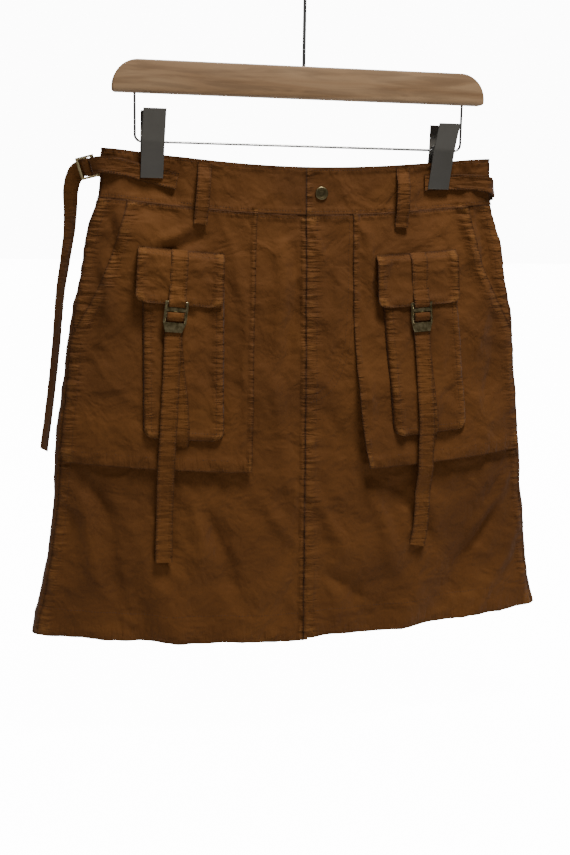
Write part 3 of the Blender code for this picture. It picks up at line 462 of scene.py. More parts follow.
def cotton(name, dark, middle, light, worn):
    made, nodes, links, shader = tree_of(name, 0.82)
    spot = nodes.new("ShaderNodeTexCoord").outputs["Object"]
    broad = noise(nodes, links, spot, 11.0, 5.0, 0.4)
    colour = ramp(nodes, links, broad, ((0.30, dark), (0.52, middle), (0.74, light)))
    slub = noise(nodes, links, spot, 900.0, 3.0)
    slub_share = ramp(nodes, links, slub, ((0.40, (0, 0, 0)), (0.66, (0.30,) * 3)))
    colour = blend_colours(nodes, links, slub_share, colour, light)
    down, across = carried(nodes, "pulled_down"), carried(nodes, "pulled_across")
    ribs_across = noise(nodes, links, spot, 210.0, 2.0, 0.5, (0.16, 0.16, 1.0))
    ribs_down = noise(nodes, links, spot, 210.0, 2.0, 0.5, (1.0, 1.0, 0.16))
    ribs = nodes.new("ShaderNodeMath")
    ribs.operation = "ADD"
    links.new(multiplied(nodes, links, across, ribs_across), ribs.inputs[0])
    links.new(multiplied(nodes, links, down, ribs_down), ribs.inputs[1])
    worn_ribs = ramp(nodes, links, ribs.outputs[0], ((0.46, (0, 0, 0)), (0.74, (0.45,) * 3)))
    colour = blend_colours(nodes, links, worn_ribs, colour, worn)
    # Painted shade: the `edge` number pulls the colour towards the dark seam colour, standing in for the shadow
    # in seam crevices and at strap sides.
    shade = multiplied(nodes, links, carried(nodes, "edge"), 0.80)
    colour = blend_colours(nodes, links, shade, colour, PAINTED_SEAM_SHADE)
    links.new(colour, shader.inputs["Base Color"])
    twill = nodes.new("ShaderNodeTexWave")
    twill.wave_type = "BANDS"
    twill.bands_direction = "DIAGONAL"
    twill.inputs["Scale"].default_value = 420.0
    twill.inputs["Distortion"].default_value = 1.2
    links.new(spot, twill.inputs["Vector"])
    weave = bump(nodes, links, twill.outputs["Fac"], 0.25, 0.00012)
    crumple = bump(nodes, links, noise(nodes, links, spot, 80.0, 4.0, 0.5), 0.65, 0.0024, weave)
    creased = bump(nodes, links, noise(nodes, links, spot, 24.0, 3.0, 0.5), 0.80, 0.0095, crumple)
    links.new(bump(nodes, links, ribs.outputs[0], 1.0, 0.0040, creased), shader.inputs["Normal"])
    shader.inputs["Sheen Weight"].default_value = 0.05
    shader.inputs["Sheen Roughness"].default_value = 0.5
    shader.inputs["Specular IOR Level"].default_value = 0.2
    return made


TONES = {
    "cotton": (
        (0.100, 0.034, 0.0052), (0.132, 0.046, 0.0074), (0.164, 0.060, 0.0105), (0.250, 0.102, 0.022),
    ),
    "strap_cotton": (
        (0.110, 0.037, 0.0056), (0.144, 0.051, 0.0080), (0.176, 0.065, 0.0115), (0.260, 0.106, 0.023),
    ),
}
COTTON = cotton("cotton", *TONES["cotton"])
STRAP_COTTON = cotton("strap_cotton", *TONES["strap_cotton"])
THREAD, _, _, thread_shader = tree_of("thread", 0.75)
thread_shader.inputs["Base Color"].default_value = (0.066, 0.0225, 0.0040, 1.0)
print("cloth finishes", COTTON.name, STRAP_COTTON.name, THREAD.name)

# %% [markdown]
# ## A wall of cloth
# Every panel is one closed thin wall: an outer face, an inner face and the folded edge between them. It is
# built row by row down the skirt. Near its borders the columns and rows crowd together, because that is
# where the stitching pulls the cloth into puckers. Each border lists its rows of stitches as distances from
# the edge.

# %% Build walls and stitches
BORDER = 0.013
FINE = 0.0016
COARSE = 0.0045
GROOVE = 0.00045
TURNED = 0.0006
GROOVE_WIDTH = 0.0007
PUCKER_PITCH = 0.0056
STITCH = 0.0021
STITCH_PITCH = 0.0030
ROW_STEP = 0.0022


def crowded(length, coarse=COARSE):
    """Shares from 0 to 1 with fine steps near both ends."""
    border = min(BORDER, length * 0.3)
    fine = max(2, round(border / FINE))
    plain = max(2, round((length - 2 * border) / coarse))
    parts = [np.linspace(0, border, fine + 1)[:-1], np.linspace(border, length - border, plain + 1)]
    parts.append(np.linspace(length - border, length, fine + 1)[1:])
    return np.concatenate(parts) / length


def mesh_from(name, points, faces, material, smooth=True):
    mesh = bpy.data.meshes.new(name)
    mesh.vertices.add(len(points))
    mesh.vertices.foreach_set("co", np.asarray(points, dtype=np.float32).ravel())
    faces = np.asarray(faces, dtype=np.int32)
    mesh.loops.add(faces.size)
    mesh.loops.foreach_set("vertex_index", faces.ravel())
    mesh.polygons.add(len(faces))
    mesh.polygons.foreach_set("loop_start", np.arange(0, faces.size, faces.shape[1], dtype=np.int32))
    mesh.update(calc_edges=True)
    mesh.validate()
    if smooth:
        mesh.shade_smooth()
        mesh.set_sharp_from_angle(angle=math.radians(55))
    mesh.materials.append(material)
    made = bpy.data.objects.new(name, mesh)
    bpy.context.collection.objects.link(made)
    return made


def wall_faces(rows, columns):
    """Quads of the outer face, the inner face and the rim of a grid wall."""
    r, c = np.meshgrid(np.arange(rows - 1), np.arange(columns - 1), indexing="ij")
    a = (r * columns + c).ravel()
    outer = np.stack((a, a + columns, a + columns + 1, a + 1), axis=1)
    shift = rows * columns
    inner = outer[:, ::-1] + shift
    ring_points = list(range(columns))
    ring_points += [k * columns + columns - 1 for k in range(1, rows)]
    ring_points += [(rows - 1) * columns + k for k in range(columns - 2, -1, -1)]
    ring_points += [k * columns for k in range(rows - 2, 0, -1)]
    loop = np.array(ring_points)
    following = np.roll(loop, -1)
    rim = np.stack((loop, following, following + shift, loop + shift), axis=1)
    return np.concatenate((outer, inner, rim))


def border_relief(gaps, along, drop, rows, pucker, seed):
    """Puckers and stitch grooves from the distances to the four borders."""
    total = np.zeros(np.shape(along))
    for k, border in enumerate(("left", "right", "top", "foot")):
        lines = rows.get(border, ())
        if not lines:
            continue
        gap = np.maximum(gaps[border], 0.0) + np.zeros(np.shape(along))
        run = drop if border in ("left", "right") else along
        reach = max(lines) + 0.003
        if len(lines) > 1:
            total = total + TURNED * (1 - smooth_step(max(lines), max(lines) + 0.0022, gap))
        wave = rumple(run, gap * 0.25, PUCKER_PITCH, seed + k)
        patchy = 0.65 + 0.35 * rumple(run, gap * 0.1, 0.030, seed + 10 + k)
        total = total + pucker * patchy * wave * np.exp(-((gap / reach) ** 4))
        for line in lines:
            total = total - GROOVE * np.exp(-(((gap - line) / GROOVE_WIDTH) ** 2))
    return total


def pull(gaps, rows, borders, along):
    """How strongly the stitching of some borders draws the cloth together, from 0 to 1."""
    total = np.zeros(np.shape(along))
    for border in borders:
        if rows.get(border):
            reach = max(rows[border]) + 0.0032
            reach = min(reach, 0.0150)
            total = np.maximum(total, np.exp(-((np.maximum(gaps[border], 0.0) / reach) ** 4)))
    return total


def carry(made, name, values):
    made.data.attributes.new(name, "FLOAT", "POINT").data.foreach_set("value", values.astype(np.float32))


STITCH_LINES = []


def cloth(
    name, node, left, right, top, foot, base, rows, flat,
    wall=PANEL_WALL, pucker=0.0012, fall=None, **more,
):
    """One piece of cloth between two border lines. `base(along, x, drop)` is the lift of its inner face."""
    middle = (top + foot) / 2
    tuck = more.get("tuck", ())
    across = float(right(middle) - left(middle))
    shares = crowded(across, more.get("coarse", COARSE))
    drops = top + (foot - top) * crowded(foot - top, ROW_STEP)
    under = np.array((0.0045, 0.0025, 0.0012, 0.0006))
    if "left" in tuck:
        shares = np.concatenate((-under / across, shares))
    if "right" in tuck:
        shares = np.concatenate((shares, 1 + under[::-1] / across))
    if "top" in tuck:
        drops = np.concatenate((top - under, drops))
    seed = sum(ord(letter) for letter in name)

    def inner(along, drop):
        sides = {"left": along - left(drop), "right": right(drop) - along}
        gaps = {**sides, "top": drop - top, "foot": foot - drop}
        x = x_at(along, drop)
        lift = base(along, x, drop) + border_relief(gaps, along, drop, rows, pucker, seed)
        for border in tuck:
            lift = lift - (wall + 0.0007) * smooth_step(0.0, 0.0012, -gaps[border])
        return lift

    outside, inside, edge, pulled = [], [], [], {"pulled_down": [], "pulled_across": []}
    for drop in drops:
        start, end = left(drop), right(drop)
        along = start + (end - start) * shares
        lift = inner(along, drop)
        down = fall(along, drop) if fall else 0.0
        outside.append(spots(along, drop, lift + wall, down))
        inside.append(spots(along, drop, lift, down))
        # `edge` carries painted shade: it rises to 1 at the piece's borders, where the colour darkens to stand
        # in for the shadow in the seam.
        near = np.abs(np.minimum(np.minimum(along - start, end - along), min(drop - top, foot - drop)))
        edge.append(np.exp(-((near / PAINTED_SHADE_REACH) ** 2)))
        gaps = {"left": along - start, "right": end - along, "top": drop - top, "foot": foot - drop}
        pulled["pulled_across"].append(pull(gaps, rows, ("left", "right"), along))
        pulled["pulled_down"].append(0.55 * pull(gaps, rows, ("top", "foot"), along))
    points = np.concatenate((np.concatenate(outside), np.concatenate(inside)))
    made = mesh_from(name, points, wall_faces(len(drops), len(shares)), COTTON)
    for attribute, values in {"edge": edge, **pulled}.items():
        carry(made, attribute, np.tile(np.concatenate(values), 2))
    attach(made, "root")
    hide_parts(node)

    def outer(along, drop):
        return inner(np.asarray(along), drop) + wall

    for border, lines in rows.items():
        for line in lines:
            stitch_border(border, line, left, right, top, foot, outer, fall)
    print(name, len(made.data.polygons), "faces")
    return outer


def stitch_border(border, line, left, right, top, foot, outer, fall):
    inset = 0.002
    if border in ("left", "right"):
        drops = np.arange(top + inset, foot - inset, STITCH_PITCH)
        at = [left(d) + line if border == "left" else right(d) - line for d in drops]
        route = list(zip(at, drops))
    else:
        drop = top + line if border == "top" else foot - line
        route = [(a, drop) for a in np.arange(left(drop) + inset, right(drop) - inset, STITCH_PITCH)]
    stitch_route(route, outer, fall)


def stitch_route(route, outer, fall=None):
    """Points where needle holes fall, kept until all the stitches are joined."""
    points = []
    for along, drop in route:
        lift = float(outer(np.array([along]), drop)[0]) + 0.00010
        down = fall(np.array([along]), drop) if fall else 0.0
        points.append(spots(np.array([along]), drop, lift, down)[0])
    STITCH_LINES.append(np.array(points))


print("wall and stitch builders ready")

# %% [markdown]
# ## The panels
# The skirt body has a front left and a front right panel that meet at the fly, and one back panel. The side
# seams are felled: the cloth is folded over and held by two rows of stitches about nine millimetres apart,
# which shorten it and raise strong puckers. The hem is turned up and stitched about 28 mm above its edge.

# %% Sew the front and back panels
PANEL_TOP = 0.0477
FELLED = (0.0018, 0.0100)
HEM_ROWS = (0.0012, 0.0285)


def fly_line(side):
    return lambda drop: along_at(FLY_X + side * SEAM_GAP / 2, drop)


def side_line(side):
    return lambda drop: seam_along(side, drop) - side * SEAM_GAP / 2


def front_base(along, x, drop):
    return -PANEL_WALL + body_relief(x, drop)


def hem_fall(along, drop):
    free = smooth_step(0.40, SKIRT_LENGTH, drop)
    return free * (0.0014 * rumple(along, 0.0, 0.038, 21) + 0.0006 * rumple(along, 0.0, 0.011, 22))


def left_fall(along, drop):
    return hem_fall(along, drop) + 0.0022 * smooth_step(0.44, SKIRT_LENGTH, drop) * np.exp(along / 0.045)


FRONT_SIZE = (0.300, 0.440)
FRONTS = {
    "left": cloth(
        "front_left_cloth", "front_left", side_line(-1), fly_line(-1), PANEL_TOP, SKIRT_LENGTH, front_base,
        {"left": FELLED, "right": (0.0020,), "top": (0.0030,), "foot": HEM_ROWS}, FRONT_SIZE,
        fall=left_fall, tuck=("right", "top"),
    ),
    "right": cloth(
        "front_right_cloth", "front_right", fly_line(1), side_line(1), PANEL_TOP, SKIRT_LENGTH, front_base,
        {"right": FELLED, "left": (0.0020, 0.0110), "top": (0.0030,), "foot": HEM_ROWS}, FRONT_SIZE,
        fall=hem_fall, tuck=("top",),
    ),
}


def back_base(along, x, drop):
    return -PANEL_WALL + body_relief(x, drop, BACK)


def back_left(drop):
    return seam_along(1, drop) + SEAM_GAP / 2


def back_right(drop):
    return seam_along(-1, drop) + whole_round(drop) - SEAM_GAP / 2


BACK_SIZE = (0.590, 0.440)
cloth(
    "back_cloth", "back_panel", back_left, back_right, PANEL_TOP, SKIRT_LENGTH, back_base,
    {"left": (0.0018,), "right": (0.0018,), "top": (0.0016,), "foot": HEM_ROWS}, BACK_SIZE, fall=hem_fall,
    tuck=("left", "right", "top"),
)

# %% [markdown]
# ## The waistband
# The band is double cloth, stitched close to both of its edges. It is the stiffest part of the skirt, but
# the clips pull it, so short slanted creases run from them. The right end laps over at the fly and carries
# the snap.

# %% Sew the waistband
BAND_CREASES = (
    (0.030, 0.006, 0.052, 0.040, 0.0045, 0.0012),
    (0.044, 0.004, 0.070, 0.034, 0.0040, -0.0010),
    (-0.020, 0.010, -0.050, 0.042, 0.0050, 0.0009),
    (-0.070, 0.006, -0.090, 0.040, 0.0045, 0.0009),
    (-0.128, 0.026, -0.112, 0.046, 0.0040, 0.0012),
    (-0.178, 0.020, -0.192, 0.046, 0.0040, 0.0010),
    (0.120, 0.020, 0.105, 0.044, 0.0040, 0.0010),
    (0.168, 0.018, 0.186, 0.044, 0.0045, 0.0012),
    (0.076, 0.008, 0.088, 0.040, 0.0040, 0.0008),
)
BAND_FOOT = BAND_HEIGHT - SEAM_GAP / 2
BAND_ROWS = {"top": (0.0032,), "foot": (0.0034,)}
BAND_PUCKER = 0.0005
BAND_SIZE = (0.202, 0.0475)
BAND_BACK_SIZE = (0.415, 0.0475)


def band_base(along, x, drop):
    return -BAND_WALL + body_relief(x, drop) * 0.5 + crease_relief(BAND_CREASES, x, drop)


def band_back_base(along, x, drop):
    return -BAND_WALL + body_relief(x, drop, BACK) * 0.5


BANDS = {
    "left": cloth(
        "waistband_left_cloth", "waistband_front_left", side_line(-1), fly_line(-1), 0.0, BAND_FOOT, band_base,
        BAND_ROWS, BAND_SIZE, BAND_WALL, BAND_PUCKER, rests_on=["clip_left_front"], tuck=("right",),
    ),
    "right": cloth(
        "waistband_right_cloth", "waistband_front_right", fly_line(1), side_line(1), 0.0, BAND_FOOT, band_base,
        {**BAND_ROWS, "left": (0.0034,)}, BAND_SIZE, BAND_WALL, BAND_PUCKER, rests_on=["clip_right_front"],
    ),
}
cloth(
    "waistband_back_cloth", "waistband_back", back_left, back_right, 0.0, BAND_FOOT, band_back_base,
    BAND_ROWS, BAND_BACK_SIZE, BAND_WALL, BAND_PUCKER, rests_on=["clip_left_back", "clip_right_back"],
    tuck=("left", "right"),
)

# %% [markdown]
# ## The patch panels
# On each front lies a large second layer. Its top is caught in the waist seam and its outer edge in the
# side seam, but its slanted upper corner is left open as the hand pocket, and its lower inner corner stands
# off and casts a shadow.

# %% Sew the patch panels
PATCH_FOOT = 0.3070
SLASH_TOP_X = 0.1770
SLASH_FOOT_DROP = 0.1800
PATCHES = {"left": (0.0475, 0.0540, 0.0050, 0.7), "right": (0.0515, 0.0690, 0.0105, 3.0)}


def patch_inner_x(label, drop):
    inner_top, inner_foot, _, power = PATCHES[label]
    share = np.clip((drop - BAND_HEIGHT) / (PATCH_FOOT - BAND_HEIGHT), 0.0, 1.0)
    return inner_top + (inner_foot - inner_top) * share**power


def patch_lift(label, x, drop):
    """How far the panel's inner face stands off the front, at a distance x out from the centre."""
    inner = patch_inner_x(label, drop)
    outward = np.clip((x - inner) / (ring_size("half_width", drop) - inner), 0.0, 1.0)
    return SEAM_GAP + PATCHES[label][2] * smooth_step(0.150, PATCH_FOOT, drop) * (1 - outward) ** 0.7


def slash_line(side):
    def line(drop):
        start = along_at(side * SLASH_TOP_X, PANEL_TOP)
        share = min(max((drop - PANEL_TOP) / (SLASH_FOOT_DROP - PANEL_TOP), 0.0), 1.0)
        seam = side_line(side)(drop) - side * 0.0004
        return start + (seam - start) * share**1.15

    return line


def patch_base(label):
    def base(along, x, drop):
        return patch_lift(label, np.abs(x), drop) + body_relief(x, drop)

    return base


def patch_inner_line(label, side):
    def line(drop):
        return along_at(side * patch_inner_x(label, drop), drop)

    return line


PATCH_SIDE_ROWS = (0.0018, 0.0105)
PATCH_EDGE_ROWS = (0.0020,)
PATCH_FOOT_ROWS = (0.0022, 0.0120)
PATCH_TOP_ROWS = (0.0016,)
PATCH_SIZE = (0.185, 0.262)
PATCH_PUCKER = 0.0013


for label, side in SIDES.items():
    inner_line = patch_inner_line(label, side)
    borders = (slash_line(side), inner_line) if side < 0 else (inner_line, slash_line(side))
    outer_edge, inner_edge = ("left", "right") if side < 0 else ("right", "left")
    stitching = {
        outer_edge: PATCH_SIDE_ROWS, inner_edge: PATCH_EDGE_ROWS,
        "foot": PATCH_FOOT_ROWS, "top": PATCH_TOP_ROWS,
    }
    cloth(
        f"patch_{label}_cloth", f"patch_{label}", *borders, PANEL_TOP, PATCH_FOOT, patch_base(label),
        stitching, PATCH_SIZE, pucker=PATCH_PUCKER, rests_on=[f"front_{label}_cloth"], tuck=("top",),
    )

# %% [markdown]
# ## Cargo pockets and flaps
# A bellows pocket is a flat face on folded sides, so it stands about 5 mm proud of the panel with a rounded
# rim. Its flap is sewn just above it and lies over its mouth. Both are cut with rounded lower corners.

# %% Sew the pockets and flaps
POCKETS = {"left": (0.0820, 0.1625, 0.0830, 0.1635), "right": (0.0800, 0.1605, 0.0950, 0.1765)}
FLAPS = {"left": (0.0815, 0.1665, 0.0840, 0.1700), "right": (0.0745, 0.1610, 0.0770, 0.1650)}
FLAP_TOP = 0.0890
FLAP_FOOT = 0.1425
FLAP_CORNER = 0.0080
POCKET_TOP = 0.0990
POCKET_FOOT = 0.2760
POCKET_CORNER = 0.0110
POCKET_RISE = 0.0045
POCKET_SLOPE = 0.0070
RIDGE_DROP, RIDGE_WIDTH, RIDGE_HEIGHT = 0.018, 0.0035, 0.0011
POCKET_CREASES = (
    (0.100, 0.170, 0.112, 0.262, 0.0050, 0.0010),
    (0.155, 0.160, 0.150, 0.250, 0.0045, -0.0009),
    (0.092, 0.205, 0.104, 0.238, 0.0050, -0.0008),
    (0.146, 0.238, 0.166, 0.262, 0.0050, 0.0009),
    (0.090, 0.120, 0.120, 0.131, 0.0045, 0.0007),
    (0.135, 0.112, 0.160, 0.122, 0.0040, -0.0006),
)


def edges_of(table, label, top, foot, corner):
    inner_top, outer_top, inner_foot, outer_foot = table[label]

    def at(drop):
        down = (drop - top) / (foot - top)
        into = max(drop - (foot - corner), 0.0)
        cut = corner - math.sqrt(max(corner**2 - into**2, 0.0))
        inner = inner_top + (inner_foot - inner_top) * down + cut
        outer = outer_top + (outer_foot - outer_top) * down - cut
        return inner, outer

    return at


def border_lines(at, side):
    """The two border lines of a piece whose inner and outer edges `at` gives."""
    low, high = (1, 0) if side < 0 else (0, 1)

    def low_line(drop):
        return along_at(side * at(drop)[low], drop)

    def high_line(drop):
        return along_at(side * at(drop)[high], drop)

    return low_line, high_line


def pocket_face(label, x, drop):
    return patch_lift(label, np.abs(x), drop) + PANEL_WALL + SEAM_GAP + POCKET_RISE + PANEL_WALL


def pocket_base(label, at):
    def base(along, x, drop):
        inner, outer = at(drop)
        away = np.abs(x)
        edge = np.minimum(np.minimum(away - inner, outer - away), POCKET_FOOT - drop)
        rise = POCKET_RISE * np.sqrt(1 - (1 - np.clip(edge / POCKET_SLOPE, 0.0, 1.0)) ** 2)
        seat = patch_lift(label, away, drop) + PANEL_WALL + SEAM_GAP
        return seat + rise + body_relief(x, drop) + crease_relief(POCKET_CREASES, away, drop)

    return base


def flap_base(label):
    def base(along, x, drop):
        seat = patch_lift(label, np.abs(x), drop) + PANEL_WALL + SEAM_GAP
        over = pocket_face(label, x, drop) + SEAM_GAP - seat
        off = (drop - FLAP_TOP - RIDGE_DROP) / RIDGE_WIDTH
        ridge = RIDGE_HEIGHT * np.exp(-(off**2)) * (0.7 + 0.3 * rumple(x, 0.0, 0.02, 5))
        over = over * smooth_step(FLAP_TOP, POCKET_TOP - 0.001, drop) + 0.0002 + ridge
        return seat + over + body_relief(x, drop) + crease_relief(POCKET_CREASES, np.abs(x), drop)

    return base


for label, side in SIDES.items():
    at = edges_of(POCKETS, label, POCKET_TOP, POCKET_FOOT, POCKET_CORNER)
    cloth(
        f"pocket_{label}_cloth", f"pocket_{label}", *border_lines(at, side), POCKET_TOP, POCKET_FOOT,
        pocket_base(label, at), {"left": (0.0080,), "right": (0.0080,), "foot": (0.0080,)}, (0.098, 0.190),
        pucker=0.0004, coarse=0.003, rests_on=[f"patch_{label}_cloth"],
    )
    at = edges_of(FLAPS, label, FLAP_TOP, FLAP_FOOT, FLAP_CORNER)
    rim_rows = (0.0016, 0.0072)
    cloth(
        f"flap_{label}_cloth", f"flap_{label}", *border_lines(at, side), FLAP_TOP, FLAP_FOOT, flap_base(label),
        {"left": rim_rows, "right": rim_rows, "foot": rim_rows, "top": (0.0014, 0.0055)}, (0.086, 0.056),
        pucker=0.0005, coarse=0.003, rests_on=[f"pocket_{label}_cloth"],
    )

# %% [markdown]
# ## Straps
# A cloth strap is a folded tube pressed flat and stitched along both edges, so it is soft at its edges and
# puckers across. It is swept along the route of its construction solid. A smooth curve through the route's
# own places keeps the bend round a buckle bar tight and even.

# %% Sweep a strap along a route
STRAP_WIDTH = 0.0172
TAB_WIDTH = 0.0165
LOOP_WIDTH = 0.0138
STRAP_SIDES = 26


def finer(route, step):
    """A smooth curve through a row of places, with its width directions."""
    table = np.array([[*point, *turn] for point, turn in route])
    knots = np.concatenate(([0.0], np.cumsum(np.linalg.norm(np.diff(table[:, :3], axis=0), axis=1))))
    at = [0.0]
    for start, end in zip(knots, knots[1:]):
        parts = max(3, math.ceil((end - start) / step))
        at += [start + (end - start) * (k + 1) / parts for k in range(parts)]
    at = np.array(at)
    columns = np.array([curve_through(knots, table[:, k], at) for k in range(6)]).T
    return columns[:, :3], columns[:, 3:], at


def strap(
    name, node, route, width, length,
    thickness=STRAP_WALL, step=0.0025, material=STRAP_COTTON, hem=0.0020,
):
    middles, turns, at = finer(route, step)
    run = np.gradient(middles, axis=0)
    run /= np.linalg.norm(run, axis=1)[:, None]
    side = turns - run * (turns * run).sum(1)[:, None]
    side /= np.linalg.norm(side, axis=1)[:, None]
    out = np.cross(run, side)
    angle = np.linspace(0, 2 * math.pi, STRAP_SIDES, endpoint=False) + 0.12
    u = np.sign(np.cos(angle)) * np.abs(np.cos(angle)) ** 0.55
    v = np.sign(np.sin(angle)) * np.abs(np.sin(angle)) ** 0.35
    seed = sum(ord(letter) for letter in name)
    pull = rumple(at, 0.0, 0.0050, seed)
    waver = 1 + 0.018 * rumple(at, 0.0, 0.010, seed + 1)
    stitch_at = 1 - hem / (width / 2)
    groove = 0.00012 * np.exp(-(((np.abs(u) - stitch_at) / 0.07) ** 2))
    lift = 0.00022 * pull[:, None] * smooth_step(0.35, 0.9, np.abs(u))[None, :]
    high = v[None, :] * (thickness / 2 + 0.00005 - groove[None, :]) + lift
    points = middles[:, None] + side[:, None] * (u * width / 2 * waver[:, None])[..., None]
    points = points + out[:, None] * high[..., None]
    rows, count = len(middles), STRAP_SIDES
    r, c = np.meshgrid(np.arange(rows - 1), np.arange(count), indexing="ij")
    a, b = (r * count + c).ravel(), (r * count + (c + 1) % count).ravel()
    faces = np.stack((a, b, b + count, a + count), axis=1)
    caps = []
    for start in (0, (rows - 1) * count):
        order = range(count // 2 - 1)
        for k in order:
            quad = [start + k, start + k + 1, start + count - 2 - k, start + count - 1 - k]
            caps.append(quad if start else quad[::-1])
    made = mesh_from(name, points.reshape(-1, 3), np.concatenate((faces, caps)), material)
    # `edge` here paints shade on the strap's sides, darkening them as if they were in shadow.
    carry(made, "edge", np.tile(0.9 * smooth_step(0.80, 0.96, np.abs(u)), rows))
    carry(made, "pulled_across", np.tile(0.5 + 0.5 * smooth_step(0.35, 0.90, np.abs(u)), rows))
    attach(made, "root")
    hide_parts(node)
    for face in (-1, 1):
        for edge in (-1, 1):
            line = middles + side * (edge * stitch_at * width / 2) + out * (face * (thickness / 2 + 0.00012))
            steps = np.arange(0.002, at[-1] - 0.002, STITCH_PITCH)
            STITCH_LINES.append(np.stack([np.interp(steps, at, line[:, k]) for k in range(3)], axis=1))
    print(name, "length", round(float(at[-1]), 3), "m")
    return at[-1]


print("strap builder ready")

# %% [markdown]
# ## Flap straps and pocket straps
# The short strap is sewn down the flap and wraps the buckle's top bar. The long strap is fixed under the
# pocket, runs up its face, goes forward over the buckle's bar and hangs down again as a free tail.

# %% Hang the pocket straps
STRAP_LINE = np.array(
    (
        (0.089, 0.1255, 0.1190),
        (0.141, 0.1295, 0.1215),
        (0.170, 0.1335, 0.1230),
        (0.258, 0.1385, 0.1280),
        (0.310, 0.1415, 0.1295),
        (0.370, 0.1435, 0.1295),
        (0.402, 0.1445, 0.1235),
    )
)
TAIL_FOOT = {"left": 0.4020, "right": 0.3960}
ANCHOR_SHIFT = {"left": -0.0125, "right": 0.0045}


def strap_x(label, drop):
    return float(np.interp(drop, STRAP_LINE[:, 0], STRAP_LINE[:, 1 if label == "left" else 2]))


def anchor_x(label, drop):
    """The fixed run slants away from the tail's line toward its foot."""
    return strap_x(label, drop) + ANCHOR_SHIFT[label] * float(smooth_step(0.158, 0.275, drop))


def stations(label, side, steps, seat, line=strap_x):
    """Places and width directions for steps of drop and height above a seat."""
    made = []
    for drop, height in steps:
        x = side * line(label, drop)
        along = along_at(x, drop)
        lift = seat(label, x, drop) + height
        one, two = place(along - 0.002, drop, lift), place(along + 0.002, drop, lift)
        made.append((place(along, drop, lift), two - one))
    return made


def on_pocket(label, x, drop):
    over = 0.0 if drop > POCKET_TOP else -SEAM_GAP
    if drop > POCKET_TOP:
        return float(pocket_face(label, x, drop)) + over
    seat = float(patch_lift(label, abs(x), drop)) + PANEL_WALL + SEAM_GAP
    share = float(smooth_step(FLAP_TOP, POCKET_TOP - 0.001, drop))
    return seat + (float(pocket_face(label, x, drop)) + SEAM_GAP - seat) * share - SEAM_GAP


def on_patch(label, x, drop):
    return float(patch_lift(label, abs(x), min(drop, PATCH_FOOT))) + PANEL_WALL


FLAP_ROUTE = (
    (0.0893, 0.0029), (0.0922, 0.0033), (0.0954, 0.0033), (0.0992, 0.0030), (0.1050, 0.0033), (0.1100, 0.0032),
    (0.1180, 0.0026), (0.1240, 0.0027), (0.1280, 0.0037), (0.1330, 0.0044), (0.1375, 0.0061), (0.1415, 0.0063),
    (0.1432, 0.0057), (0.1440, 0.0042), (0.1434, 0.0028), (0.1415, 0.0023), (0.1380, 0.0023),
)
SEWN = ((0.2830, 0.0012), (0.2785, 0.0021), (0.2755, 0.0036), (0.2725, 0.0062))
UP_FACE = ((0.2680, 0.0016), (0.2450, 0.0014), (0.2000, 0.0014), (0.1720, 0.0010), (0.1580, 0.0009))
THROUGH = (
    (0.1535, 0.0011), (0.1512, 0.0018), (0.1501, 0.0030), (0.1500, 0.0046), (0.1502, 0.0056), (0.1513, 0.0063),
    (0.1530, 0.0065), (0.1550, 0.0063), (0.1564, 0.0056), (0.1572, 0.0045), (0.1578, 0.0034), (0.1588, 0.0026),
    (0.1605, 0.0024), (0.1700, 0.0026), (0.1800, 0.0034), (0.2000, 0.0040), (0.2300, 0.0036), (0.2600, 0.0034),
)
BELOW = ((0.2820, 0.0066), (0.2980, 0.0044), (0.3120, 0.0036))
for label, side in SIDES.items():
    strap(
        f"flap_strap_{label}_cloth", f"flap_strap_{label}", stations(label, side, FLAP_ROUTE, on_pocket),
        STRAP_WIDTH, 0.066,
    )
    route = stations(label, side, SEWN, on_patch, anchor_x)
    route += stations(label, side, UP_FACE, on_pocket, anchor_x)
    route += stations(label, side, THROUGH, on_pocket)
    route += stations(label, side, BELOW, on_patch)
    for share, lift in ((0.30, 0.0058), (0.55, 0.0046), (0.78, 0.0044), (1.0, 0.0046)):
        drop = 0.3120 + (TAIL_FOOT[label] - 0.3120) * share
        route += stations(label, side, ((drop, lift),), lambda *_: 0.0)
    strap(f"pocket_strap_{label}_cloth", f"pocket_strap_{label}", route, STRAP_WIDTH, 0.390)

# %% [markdown]
# ## Belt loops
# Each loop is a narrow folded strap that arches off the band, with its ends turned under and stitched down.

# %% Make the belt loops
LOOP_FOOT = 0.0625
LOOP_STAND = 0.0057
LOOP_LENGTH = 0.066
LOOP_STEP = 0.0018
LOOP_HEM = 0.0018
LOOP_STEPS = (
    (0.0030, 0.0), (0.0080, 0.0), (0.0130, 0.35), (0.0180, 0.85), (0.0230, 1.0), (0.0400, 1.0), (0.0460, 0.85),
    (0.0530, 0.35), (0.0580, 0.0), (LOOP_FOOT, 0.0),
)
LOOP_ENDS = {"left": (-0.1000, -0.1055), "right": (0.1035, 0.1020)}
for label, (x_top, x_foot) in LOOP_ENDS.items():
    route = []
    for drop, stand in LOOP_STEPS:
        x = x_top + (x_foot - x_top) * drop / LOOP_FOOT
        seat = PANEL_WALL + 2 * SEAM_GAP if drop > 0.040 else SEAM_GAP
        lift = seat + 0.0005 + STRAP_WALL / 2 + (LOOP_STAND - seat) * stand
        along = along_at(x, drop)
        across = place(along + 0.002, drop, lift) - place(along - 0.002, drop, lift)
        route.append((place(along, drop, lift), across))
    strap(
        f"belt_loop_{label}_cloth", f"belt_loop_{label}", route, LOOP_WIDTH, LOOP_LENGTH,
        0.0016, LOOP_STEP, COTTON, LOOP_HEM,
    )
route = []
